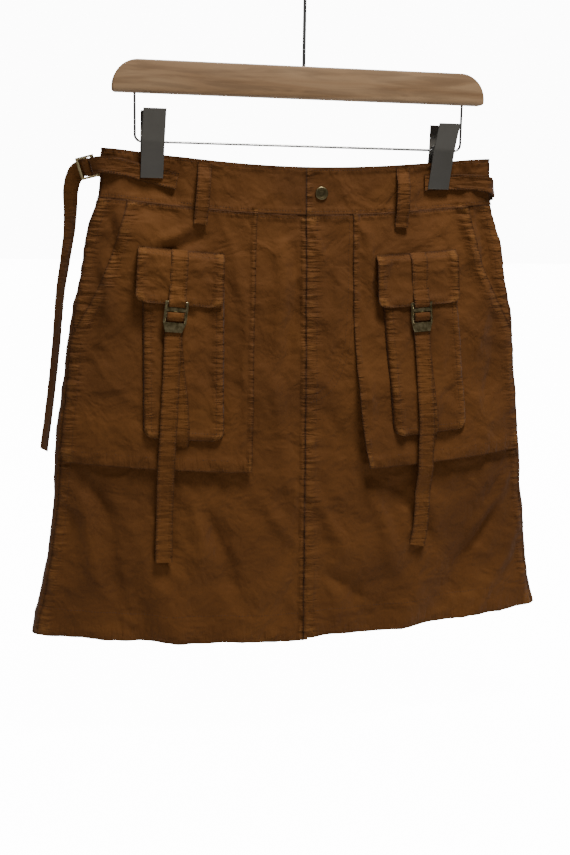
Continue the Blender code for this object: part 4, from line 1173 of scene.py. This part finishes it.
for drop, stand in LOOP_STEPS:
    length = ring(round(drop, 4))[4][-1]
    lift = SEAM_GAP + 0.0004 + STRAP_WALL / 2 + (LOOP_STAND - SEAM_GAP) * stand
    route.append((place(length - 0.0001, drop, lift), Vector((1, 0, 0))))
strap(
    "belt_loop_back_cloth", "belt_loop_back", route, LOOP_WIDTH, LOOP_LENGTH,
    0.0014, LOOP_STEP, COTTON, LOOP_HEM,
)

# %% [markdown]
# ## Side adjusters
# A tab is sewn to the front band, runs round the side and holds a small ladder buckle. A strap from the
# back band goes through the buckle and hangs down as a tail. The left tail hangs beside the skirt and the
# right one behind it.

# %% Hang the side tabs and straps
SIDE_BUCKLE = 0.0195
SIDE_BUCKLE_HALF = 0.0105
SIDE_BUCKLE_BARS = (-1.0, -0.74, -0.14, 0.14, 0.74, 1.0)
BUCKLE_MIDDLE = {"left": (-0.2142, 0.0002, WAIST_Z - 0.0190), "right": (0.1995, 0.0105, WAIST_Z - 0.0330)}
BUCKLE_ACROSS = {"left": (-0.80, 0.56, -0.20), "right": (-0.75, 0.62, -0.20)}
BUCKLE_ALONG = {"left": (0.0, -0.3, 1.0), "right": (-0.1, 0.2, 1.0)}
TABS = {
    "left": (
        (-0.1270, 0.0240, 0.0016), (-0.1420, 0.0222, 0.0016), (-0.1580, 0.0200, 0.0016),
        (-0.1720, 0.0182, 0.0020),
        (-0.1840, 0.0166, 0.0028), (-0.1920, 0.0160, 0.0040),
    ),
    "right": (
        (0.1290, 0.0200, 0.0016), (0.1420, 0.0205, 0.0016), (0.1580, 0.0215, 0.0016), (0.1720, 0.0225, 0.0020),
        (0.1840, 0.0240, 0.0026), (0.1930, 0.0255, 0.0034), (0.1990, 0.0272, 0.0040), (0.2030, 0.0290, 0.0034),
    ),
}
LOOP_THROUGH = (
    (11.0, -4.8, 0), (6.0, -3.8, 0), (1.5, -3.4, 0), (-1.8, -2.6, 0), (-3.0, -1.2, 0), (-3.2, 0.2, 0),
    (-2.6, 1.5, 0), (-1.0, 2.0, 0), (1.0, 2.0, 0), (2.7, 1.4, 0), (3.6, 0.1, 0), (4.4, -1.2, 0), (6.2, -2.0, 0),
    (9.0, -2.1, -0.3),
)
WRAP = (
    (-10.5, 1.7, 0), (-7.6, 1.9, 0), (-6.0, 1.3, 0), (-5.6, 0.0, 0), (-6.1, -1.4, 0), (-7.4, -1.9, 0),
    (-8.8, -2.0, 0),
)
SEWN_BACK = {
    "left": ((-0.1680, 0.0135), (-0.1830, 0.0150), (-0.2000, 0.0185)),
    "right": ((0.1600, 0.0120), (0.1720, 0.0150), (0.1840, 0.0185)),
}
BACK_LEVEL = {"left": WAIST_Z - 0.0190, "right": WAIST_Z - 0.0300}
TURN_BACK = {"left": ((11.5, -11.5, 0), (13.5, -8.0, 0)), "right": ()}
TURN_DOWN = ((12.5, -2.0, -1.0),)
SIDE_STRAP_LENGTH = {"left": 0.390, "right": 0.360}
TAILS = {
    "left": (
        ((-0.2270, 0.0115, WAIST_Z - 0.0290), (-0.45, 0.10, 0.85)),
        ((-0.2300, 0.0140, WAIST_Z - 0.0410), (-0.85, 0.45, 0.30)),
        ((-0.2305, 0.0150, WAIST_Z - 0.0560), (-0.80, 0.60, 0.10)),
        ((-0.2315, 0.0145, WAIST_Z - 0.0760), (-0.68, 0.73, 0.0)),
        ((-0.2350, 0.0145, WAIST_Z - 0.1000), (-0.58, 0.81, 0.0)),
        ((-0.2415, 0.0150, WAIST_Z - 0.1400), (-0.50, 0.87, 0.0)),
        ((-0.2465, 0.0150, WAIST_Z - 0.1900), (-0.46, 0.89, 0.0)),
        ((-0.2530, 0.0150, WAIST_Z - 0.2450), (-0.44, 0.90, 0.0)),
        ((-0.2610, 0.0150, WAIST_Z - 0.3010), (-0.44, 0.90, 0.0)),
    ),
    "right": (
        ((0.1930, 0.0245, WAIST_Z - 0.0480), (0.7, -0.2, 0.7)),
        ((0.1935, 0.0270, WAIST_Z - 0.0660), (1.0, -0.4, 0.2)),
        ((0.1960, 0.0270, WAIST_Z - 0.1000), (1.0, -0.4, 0.0)),
        ((0.2000, 0.0275, WAIST_Z - 0.1600), (1.0, -0.4, 0.0)),
        ((0.2050, 0.0285, WAIST_Z - 0.2300), (1.0, -0.4, 0.0)),
        ((0.2090, 0.0300, WAIST_Z - 0.2960), (1.0, -0.4, 0.0)),
    ),
}


def buckle_frame(label):
    """The side buckle's middle, and the directions across its bars, along them and out of its face."""
    across = Vector(BUCKLE_ACROSS[label]).normalized()
    along = Vector(BUCKLE_ALONG[label])
    along = (along - across * along.dot(across)).normalized()
    return Vector(BUCKLE_MIDDLE[label]), across, along, along.cross(across) * -SIDES[label]


def in_buckle(label, steps):
    middle, across, along, out = buckle_frame(label)
    return [middle + (across * a + out * o + along * v) * 0.001 for a, o, v in steps]


for label, side in SIDES.items():
    along = buckle_frame(label)[2]
    rising = Vector((0.20 if side < 0 else -0.05, 0.0, 1.0))
    route = [(place(along_at(x, drop), drop, lift), rising) for x, drop, lift in TABS[label]]
    route += [(point, along) for point in in_buckle(label, WRAP)]
    strap(
        f"side_tab_{label}_cloth", f"side_tab_{label}", route, TAB_WIDTH, 0.100,
        0.0014, 0.002, COTTON,
    )
    upward = Vector((0, 0, 1))
    route = [(Vector((x, y, BACK_LEVEL[label])), upward) for x, y in SEWN_BACK[label]]
    route += [(point, upward) for point in in_buckle(label, TURN_BACK[label])]
    route += [(point, along) for point in in_buckle(label, LOOP_THROUGH + TURN_DOWN)]
    route += [(Vector(point), Vector(turn)) for point, turn in TAILS[label]]
    strap(f"side_strap_{label}_cloth", f"side_strap_{label}", route, TAB_WIDTH, SIDE_STRAP_LENGTH[label])

# %% [markdown]
# ## Stitches
# One stitch is a tiny bead of thread lying between two needle holes. Thousands of them are joined into one
# mesh, because separate objects would be slow, and a line drawn in the material would vanish in a close
# view.

# %% Join the stitches
STITCH_THICK = 0.00045


def stitch_mesh(name, lines):
    starts = np.concatenate([points[:-1] for points in lines if len(points) > 1])
    ends = np.concatenate([points[1:] for points in lines if len(points) > 1])
    run = ends - starts
    length = np.linalg.norm(run, axis=1)
    keep = (length > 0.001) & (length < 0.006)
    starts, run, length = starts[keep], run[keep], length[keep]
    run = run / length[:, None]
    ends = starts + run * STITCH
    helper = np.where(np.abs(run[:, [1]]) > 0.8, np.array([[1.0, 0, 0]]), np.array([[0, 1.0, 0]]))
    side = np.cross(run, helper)
    side /= np.linalg.norm(side, axis=1)[:, None]
    out = np.cross(run, side)
    middle = (starts + ends) / 2
    half = STITCH_THICK / 2
    waist = (middle + side * half, middle + out * half, middle - side * half, middle - out * half)
    points = np.stack((starts, *waist, ends), 1)
    base = np.arange(len(starts))[:, None] * 6
    faces = np.concatenate([base + np.array([[0, a, b]]) for a, b in ((2, 1), (3, 2), (4, 3), (1, 4))])
    far_half = [base + np.array([[5, a, b]]) for a, b in ((1, 2), (2, 3), (3, 4), (4, 1))]
    faces = np.concatenate([faces] + far_half)
    made = mesh_from(name, points.reshape(-1, 3), faces, THREAD)
    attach(made, "root")
    print(name, len(starts), "stitches")


J_STITCH = (
    (0.053, 0.055), (0.052, 0.100), (0.051, 0.150), (0.047, 0.185), (0.041, 0.205), (0.034, 0.219),
    (0.026, 0.228), (0.016, 0.234), (0.005, 0.237),
)
for inset in (0.0, 0.0055):
    knots = np.array([[x - inset, d - inset * smooth_step(0.18, 0.23, d)] for x, d in J_STITCH])
    lengths = np.concatenate(([0.0], np.cumsum(np.linalg.norm(np.diff(knots, axis=0), axis=1))))
    steps = np.arange(0.0, lengths[-1], STITCH_PITCH)
    xs, drops = (curve_through(lengths, knots[:, k], steps) for k in (0, 1))
    stitch_route([(float(along_at(x, d)), float(d)) for x, d in zip(xs, drops)], FRONTS["right"])
stitch_mesh("stitches", STITCH_LINES)

# %% [markdown]
# ## Metal and wood finishes
# The buckles and the snap are antiqued brass: dark with bright worn edges. The wire is polished steel, the
# clips are a warm satin grey, and the bar is pale wood with long slanted grain under a thin coat.

# %% Mix the metals and the wood


def metal(name, dark, light, roughness, scale, bump_strength):
    made, nodes, links, shader = tree_of(name, roughness, 1.0)
    spot = nodes.new("ShaderNodeTexCoord").outputs["Object"]
    patch = noise(nodes, links, spot, scale, 4.0, 0.3)
    geometry = nodes.new("ShaderNodeNewGeometry")
    edge = ramp(nodes, links, geometry.outputs["Pointiness"], ((0.50, (0, 0, 0)), (0.58, (1, 1, 1))))
    halfway = tuple((a + b) / 2 for a, b in zip(dark, light))
    colour = ramp(nodes, links, patch, ((0.35, dark), (0.65, halfway)))
    links.new(blend_colours(nodes, links, edge, colour, light), shader.inputs["Base Color"])
    pits = noise(nodes, links, spot, scale * 6, 3.0)
    links.new(bump(nodes, links, pits, bump_strength, 0.0002), shader.inputs["Normal"])
    return made


BRASS = metal("antique_brass", (0.170, 0.130, 0.058), (0.640, 0.520, 0.290), 0.38, 260.0, 0.25)
SNAP_BRASS = metal("snap_brass", (0.090, 0.068, 0.030), (0.230, 0.180, 0.090), 0.42, 300.0, 0.3)
CLIP_STEEL = metal("clip_steel", (0.175, 0.163, 0.142), (0.200, 0.188, 0.166), 0.50, 40.0, 0.03)
WIRE_STEEL = metal("wire_steel", (0.300, 0.296, 0.285), (0.560, 0.550, 0.530), 0.22, 90.0, 0.02)


def wood():
    made, nodes, links, shader = tree_of("pale_wood", 0.48)
    spot = nodes.new("ShaderNodeTexCoord").outputs["Object"]
    turn = nodes.new("ShaderNodeMapping")
    turn.inputs["Rotation"].default_value = (0.0, math.radians(4.0), 0.0)
    turn.inputs["Scale"].default_value = (0.10, 1.0, 1.0)
    links.new(spot, turn.inputs["Vector"])
    grain = noise(nodes, links, turn.outputs["Vector"], 150.0, 6.0, 0.9)
    streak = noise(nodes, links, turn.outputs["Vector"], 46.0, 3.0, 1.8)
    tones = ((0.32, (0.270, 0.150, 0.068)), (0.50, (0.350, 0.208, 0.104)), (0.70, (0.410, 0.255, 0.135)))
    colour = ramp(nodes, links, streak, tones)
    lines = ramp(nodes, links, grain, ((0.38, (0.62,) * 3), (0.55, (1, 1, 1))))
    links.new(blend_colours(nodes, links, 0.65, colour, lines, "MULTIPLY"), shader.inputs["Base Color"])
    links.new(bump(nodes, links, grain, 0.12, 0.0003), shader.inputs["Normal"])
    shader.inputs["Coat Weight"].default_value = 0.15
    shader.inputs["Coat Roughness"].default_value = 0.35
    return made


WOOD = wood()
print("metals and wood mixed")

# %% [markdown]
# ## Buckles
# A ladder buckle is stamped from sheet: two rails joined by bars, with a grip plate at its foot that
# narrows. The plate is built cell by cell and its edges are softened by a bevel, which is what catches the
# light on real pressed metal.

# %% Stamp the buckles
BUCKLE_PLATE = 0.0016
BUCKLE_WIDTH = 0.0220
BUCKLE_RAIL = 0.0019
BUCKLE_DROPS = (0.1393, 0.1423, 0.1450, 0.1488, 0.1512, 0.1552, 0.1595, 0.1685)
BUCKLE_SOLID = (True, False, True, False, True, False, True)


def finish_metal(made, node, soft):
    if soft:
        bevel = made.modifiers.new("soft edges", "BEVEL")
        bevel.width = soft
        bevel.segments = 3
        bevel.limit_method = "ANGLE"
        bevel.angle_limit = math.radians(40)
    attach(made, "root")
    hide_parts(node)
    print(made.name, "stands for", node)


def barred_plate(name, node, rails, drops, solid, corner, soft):
    lines = (-1.0, -rails, rails, 1.0)
    made, points, faces = {}, [], []

    def vertex(c, r, level):
        key = (c, r, level)
        if key not in made:
            made[key] = len(points)
            points.append(corner(lines[c], drops[r], level))
        return made[key]

    cells = {(c, r) for r in range(len(drops) - 1) for c in range(3) if c != 1 or solid[r]}
    for c, r in sorted(cells):
        for level in (-1, 1):
            quad = [vertex(c + i, r + j, level) for i, j in ((0, 0), (1, 0), (1, 1), (0, 1))]
            faces.append(quad if level < 0 else quad[::-1])
        edges = {
            (c - 1, r): ((0, 0), (0, 1)),
            (c + 1, r): ((1, 1), (1, 0)),
            (c, r - 1): ((1, 0), (0, 0)),
            (c, r + 1): ((0, 1), (1, 1)),
        }
        for beside, (one, two) in edges.items():
            if beside not in cells:
                first = [vertex(c + one[0], r + one[1], level) for level in (-1, 1)]
                second = [vertex(c + two[0], r + two[1], level) for level in (1, -1)]
                faces.append(first + second)
    made = mesh_from(name, points, faces, BRASS)
    finish_metal(made, node, soft)


for label, side in SIDES.items():

    def corner(across, drop, level, label=label, side=side):
        narrow = 1.0 - 0.28 * smooth_step(BUCKLE_DROPS[-2], BUCKLE_DROPS[-1], drop)
        x = side * strap_x(label, drop)
        along = along_at(x, drop) + across * narrow * BUCKLE_WIDTH / 2
        return place(along, drop, float(pocket_face(label, x, drop)) + 0.0042 + level * BUCKLE_PLATE / 2)

    rails = 1 - 2 * BUCKLE_RAIL / BUCKLE_WIDTH
    barred_plate(f"buckle_{label}_metal", f"buckle_{label}", rails, BUCKLE_DROPS, BUCKLE_SOLID, corner, 0.0005)
    middle, across, along, out = buckle_frame(label)

    def side_corner(one, two, level, middle=middle, across=across, along=along, out=out):
        reach = across * two * SIDE_BUCKLE / 2 + along * one * SIDE_BUCKLE_HALF
        return middle + reach + out * level * 0.0007

    solid = (True, False, True, False, True)
    barred_plate(
        f"side_buckle_{label}_metal", f"side_buckle_{label}", 0.84, SIDE_BUCKLE_BARS, solid, side_corner, 0.0004
    )

# %% [markdown]
# ## The snap
# The snap's cap is a low dome with a rolled rim and a shallow ring pressed into it. It is turned from a
# short profile.

# %% Turn the snap
SNAP_X, SNAP_DROP = 0.0180, 0.0260
along = along_at(SNAP_X, SNAP_DROP)
outer_lift = float(BANDS["right"](np.array([along]), SNAP_DROP)[0])
aside = (place(along + 0.004, SNAP_DROP) - place(along - 0.004, SNAP_DROP)).normalized()
above = (place(along, SNAP_DROP - 0.004) - place(along, SNAP_DROP + 0.004)).normalized()
outward = aside.cross(above).normalized()
centre = place(along, SNAP_DROP, outer_lift)
PROFILE = (
    (0.0, 0.0014), (0.0020, 0.0014), (0.0030, 0.0011), (0.0040, 0.0013), (0.0052, 0.0018), (0.0062, 0.0016),
    (0.0067, 0.0009), (0.0065, 0.0001),
)
count = 40
points = [centre + outward * PROFILE[0][1]]
for radius, height in PROFILE[1:]:
    for k in range(count):
        turn = 2 * math.pi * k / count
        points.append(centre + outward * height + (aside * math.cos(turn) + above * math.sin(turn)) * radius)
faces = [(0, 1 + k, 1 + (k + 1) % count) for k in range(count)]
cap = bpy.data.meshes.new("snap_cap")
for r in range(len(PROFILE) - 2):
    for k in range(count):
        a, b = 1 + r * count + k, 1 + r * count + (k + 1) % count
        faces.append((a, a + count, b + count, b))
faces.append(tuple(1 + (len(PROFILE) - 2) * count + k for k in reversed(range(count))))
cap.from_pydata([tuple(p) for p in points], [], faces)
cap.shade_smooth()
cap.materials.append(SNAP_BRASS)
snap = bpy.data.objects.new("snap_cap", cap)
bpy.context.collection.objects.link(snap)
finish_metal(snap, "snap", 0)

# %% [markdown]
# ## The hanger
# The bar is one plank with large round shoulders. The hook and the frame are bent wire, made as curves with
# a round bevel, which gives a true circular section for the least work.

# %% Bend the wires and shape the bar
HOOK_WIRE = 0.0035
HOOK_INSIDE = 0.019
HOOK_STEM_TOP_Z = -0.054
FRAME_WIRE = 0.0025
FRAME_LEG_X = 0.1680
FRAME_BEND = 0.0065
BAR_LENGTH = 0.380
BAR_SHOULDER = 0.026
BAR_THICKNESS = 0.013


def wire(name, node, points, diameter):
    data = bpy.data.curves.new(name, "CURVE")
    data.dimensions = "3D"
    data.bevel_depth = diameter / 2
    data.bevel_resolution = 5
    data.use_fill_caps = True
    spline = data.splines.new("POLY")
    spline.points.add(len(points) - 1)
    for slot, point in zip(spline.points, points):
        slot.co = (*point, 1.0)
    spline.use_smooth = True
    data.materials.append(WIRE_STEEL)
    made = bpy.data.objects.new(name, data)
    bpy.context.collection.objects.link(made)
    finish_metal(made, node, 0)


radius = HOOK_INSIDE + HOOK_WIRE / 2
hook_centre = Vector((0, 0, -HOOK_INSIDE))
start = math.radians(-45)
join = hook_centre + radius * Vector((math.cos(start), 0, math.sin(start)))
heading = Vector((-math.sin(start), 0, math.cos(start)))
stem_top = Vector((0, 0, HOOK_STEM_TOP_Z))
controls = (stem_top, stem_top + Vector((0, 0, 0.009)), join - heading * 0.009, join)
hook_points = [Vector((0, 0, BAR_TOP_Z + SEAM_GAP))]
for k in range(25):
    t = k / 24
    weights = ((1 - t) ** 3, 3 * t * (1 - t) ** 2, 3 * t * t * (1 - t), t**3)
    hook_points.append(sum((w * c for w, c in zip(weights, controls)), Vector((0, 0, 0))))
for k in range(1, 65):
    angle = start + math.radians(245) * k / 64
    hook_points.append(hook_centre + radius * Vector((math.cos(angle), 0, math.sin(angle))))
wire("hook_wire", "hanger_hook", hook_points, HOOK_WIRE)

frame_points = []
for side in (-1, 1):
    leg = [Vector((side * FRAME_LEG_X, 0, BAR_FOOT_Z - SEAM_GAP))]
    for k in range(17):
        angle = math.radians(90) * k / 16
        across = FRAME_LEG_X - FRAME_BEND * (1 - math.cos(angle))
        leg.append(Vector((side * across, 0, FRAME_RUN_Z + FRAME_BEND * (1 - math.sin(angle)))))
    frame_points += leg if side < 0 else leg[::-1]
wire("frame_wire", "hanger_wire", frame_points, FRAME_WIRE)

half = BAR_LENGTH / 2
outline = [(-half + 0.002, BAR_FOOT_Z), (half - 0.002, BAR_FOOT_Z), (half, BAR_FOOT_Z + 0.002)]
for side in (1, -1):
    arc = []
    for k in range(33):
        angle = math.radians(90) * k / 32
        across = side * (half - BAR_SHOULDER * (1 - math.cos(angle)))
        arc.append((across, BAR_TOP_Z - BAR_SHOULDER * (1 - math.sin(angle))))
    outline += arc if side > 0 else arc[::-1]
outline.append((-half, BAR_FOOT_Z + 0.002))
count = len(outline)
points = [(x, y, z) for y in (-BAR_THICKNESS / 2, BAR_THICKNESS / 2) for x, z in outline]
faces = [tuple(range(count)), tuple(range(2 * count - 1, count - 1, -1))]
faces += [((k + 1) % count, k, k + count, (k + 1) % count + count) for k in range(count)]
plank = bpy.data.meshes.new("bar_plank")
plank.from_pydata(points, [], faces)
plank.shade_smooth()
plank.materials.append(WOOD)
bar = bpy.data.objects.new("bar_plank", plank)
bpy.context.collection.objects.link(bar)
finish_metal(bar, "hanger_bar", 0.0020)

# %% [markdown]
# ## The clips
# Each clip is a pair of bent steel plates that hang on the wire by their ears, with a coil spring between
# them. The plates are slightly crowned, so a satin finish shades gently across them.

# %% Press the clips
CLIP_X = {-1: 0.1508, 1: 0.1482}
CLIP_WIDTH = 0.0225
CLIP_PLATE = 0.0015
CLIP_TOP_Z = BAR_FOOT_Z - 0.015
CLIP_TIP_Z = BAR_FOOT_Z - 0.081
CLIP_TIP_Y, CLIP_KNEE_Y, CLIP_TOP_Y = 0.0046, 0.0074, 0.0140
CLIP_EAR = 0.0045
CLIP_LEAN = {-1: 0.037, 1: 0.102}
CLIP_LOWER = {-1: 0.0, 1: 0.0045}


def clip_arm(name, node, side, face):
    lower = CLIP_LOWER[side]
    knots = np.array((CLIP_TIP_Z - lower, CLIP_TIP_Z - lower + 0.012, FRAME_RUN_Z, CLIP_TOP_Z - lower))
    depths = np.array((CLIP_TIP_Y, CLIP_TIP_Y + 0.0006, CLIP_KNEE_Y, CLIP_TOP_Y))
    levels = np.linspace(knots[0], knots[-1], 40)
    depth = np.interp(levels, knots, depths)
    shares = np.linspace(-1, 1, 15)
    outside, inside = [], []
    for level, deep in zip(levels, depth):
        lean = CLIP_LEAN[side] * (level - FRAME_RUN_Z)
        x = side * CLIP_X[side] + lean + shares * CLIP_WIDTH / 2
        crown = -0.0005 * shares**2
        height = np.full(15, level)
        outside.append(np.stack((x, -face * (deep + CLIP_PLATE + crown), height), axis=1))
        inside.append(np.stack((x, -face * (deep + crown), height), axis=1))
    points = np.concatenate((np.concatenate(outside), np.concatenate(inside)))
    faces = wall_faces(40, 15)
    if face == FRONT:
        faces = faces[:, ::-1]
    made = mesh_from(name, points, faces, CLIP_STEEL)
    finish_metal(made, node, 0.0004)


def clip_spring(name, node, side):
    half, turns, coil = CLIP_WIDTH / 2 - 0.0050, 7, 0.0028
    points = []
    for k in range(turns * 24 + 1):
        angle = 2 * math.pi * k / 24
        across = -half + 2 * half * k / (turns * 24)
        middle = side * CLIP_X[side]
        points.append((middle + across, coil * math.cos(angle), FRAME_RUN_Z + coil * math.sin(angle)))
    wire(name, node, points, 0.0012)


def clip_ears(name, side):
    """Four small cheeks with the wire through them, on both arms."""
    points, faces = [], []
    count = 24
    for edge in (-1, 1):
        for face, inset in ((FRONT, 0.0006), (BACK, 0.0025)):
            x = side * CLIP_X[side] + edge * (CLIP_WIDTH / 2 - inset)
            base = len(points)
            for across in (0.0, -edge * 0.0012):
                for k in range(count):
                    y, z = math.cos(2 * math.pi * k / count), math.sin(2 * math.pi * k / count)
                    outer_y = -face * (CLIP_KNEE_Y + 0.0005) if y * -face > 0.55 else y * CLIP_EAR
                    hole = FRAME_WIRE / 2 + SEAM_GAP
                    points.append((x + across, outer_y, FRAME_RUN_Z + z * CLIP_EAR))
                    points.append((x + across, y * hole, FRAME_RUN_Z + z * hole))
            for k in range(count):
                n = (k + 1) % count
                a, b, c, d = base + 2 * k, base + 2 * n, base + 2 * k + 1, base + 2 * n + 1
                far = 2 * count
                faces += [(a, b, d, c), (a + far, c + far, d + far, b + far)]
                faces += [(a, a + far, b + far, b), (c, d, d + far, c + far)]
    made = mesh_from(name, points, faces, CLIP_STEEL)
    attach(made, "root")
    return made


for label, side in SIDES.items():
    clip_arm(f"clip_{label}_front_plate", f"clip_{label}_front", side, FRONT)
    clip_arm(f"clip_{label}_back_plate", f"clip_{label}_back", side, BACK)
    clip_spring(f"clip_{label}_coil", f"clip_{label}_spring", side)
    clip_ears(f"clip_{label}_ears", side)

# %% [markdown]
# ## Floor, light and air
# The part is shown over a plain pale floor, under one wide soft light from above and a pale surround. A
# wide light keeps the shadows soft, and its height lets the pockets and the patch edges shade the cloth
# below them.

# %% Light the skirt
low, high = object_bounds()
floor_z = low.z - 0.10
span = 14.0
corners = [(x * span, y * span, floor_z) for x, y in ((-1, -1), (1, -1), (1, 1), (-1, 1))]
floor = mesh_from("floor", corners, [(0, 1, 2, 3)], bpy.data.materials.new("floor_paint"), False)
floor.data.materials[0].use_nodes = True
floor_shader = floor.data.materials[0].node_tree.nodes["Principled BSDF"]
floor_shader.inputs["Base Color"].default_value = (0.80, 0.80, 0.80, 1.0)
floor_shader.inputs["Roughness"].default_value = 0.9
floor_shader.inputs["Emission Color"].default_value = (1.0, 1.0, 1.0, 1.0)


def seen_and_cast(tree, socket, seen, cast):
    """A strength that is `seen` in the picture and only `cast` as light on other things."""
    rays = tree.nodes.new("ShaderNodeLightPath")
    amount = tree.nodes.new("ShaderNodeMath")
    amount.operation = "MULTIPLY_ADD"
    tree.links.new(rays.outputs["Is Camera Ray"], amount.inputs[0])
    amount.inputs[1].default_value = seen - cast
    amount.inputs[2].default_value = cast
    tree.links.new(amount.outputs[0], socket)


seen_and_cast(floor.data.materials[0].node_tree, floor_shader.inputs["Emission Strength"], 14.0, 0.0)


def soft_light(name, spot, aim, size, power):
    data = bpy.data.lights.new(name, "AREA")
    data.shape = "RECTANGLE"
    data.size, data.size_y = size
    data.energy = power
    made = bpy.data.objects.new(name, data)
    bpy.context.collection.objects.link(made)
    made.location = spot
    made.rotation_mode = "QUATERNION"
    made.rotation_quaternion = (Vector(aim) - Vector(spot)).to_track_quat("-Z", "Y")


soft_light("ceiling", (0.22, -0.62, 1.40), (0.0, 0.0, -0.40), (0.50, 0.45), 41.0)
soft_light("ceiling_back", (0.4, 1.1, 1.35), (0.0, 0.0, -0.40), (1.0, 0.8), 24.0)
world = bpy.data.worlds.new("pale air")
bpy.context.scene.world = world
world.use_nodes = True
world.node_tree.nodes["Background"].inputs["Color"].default_value = (1.0, 1.0, 1.0, 1.0)
seen_and_cast(world.node_tree, world.node_tree.nodes["Background"].inputs["Strength"], 12.0, 0.10)
print("floor at", round(floor_z, 3))
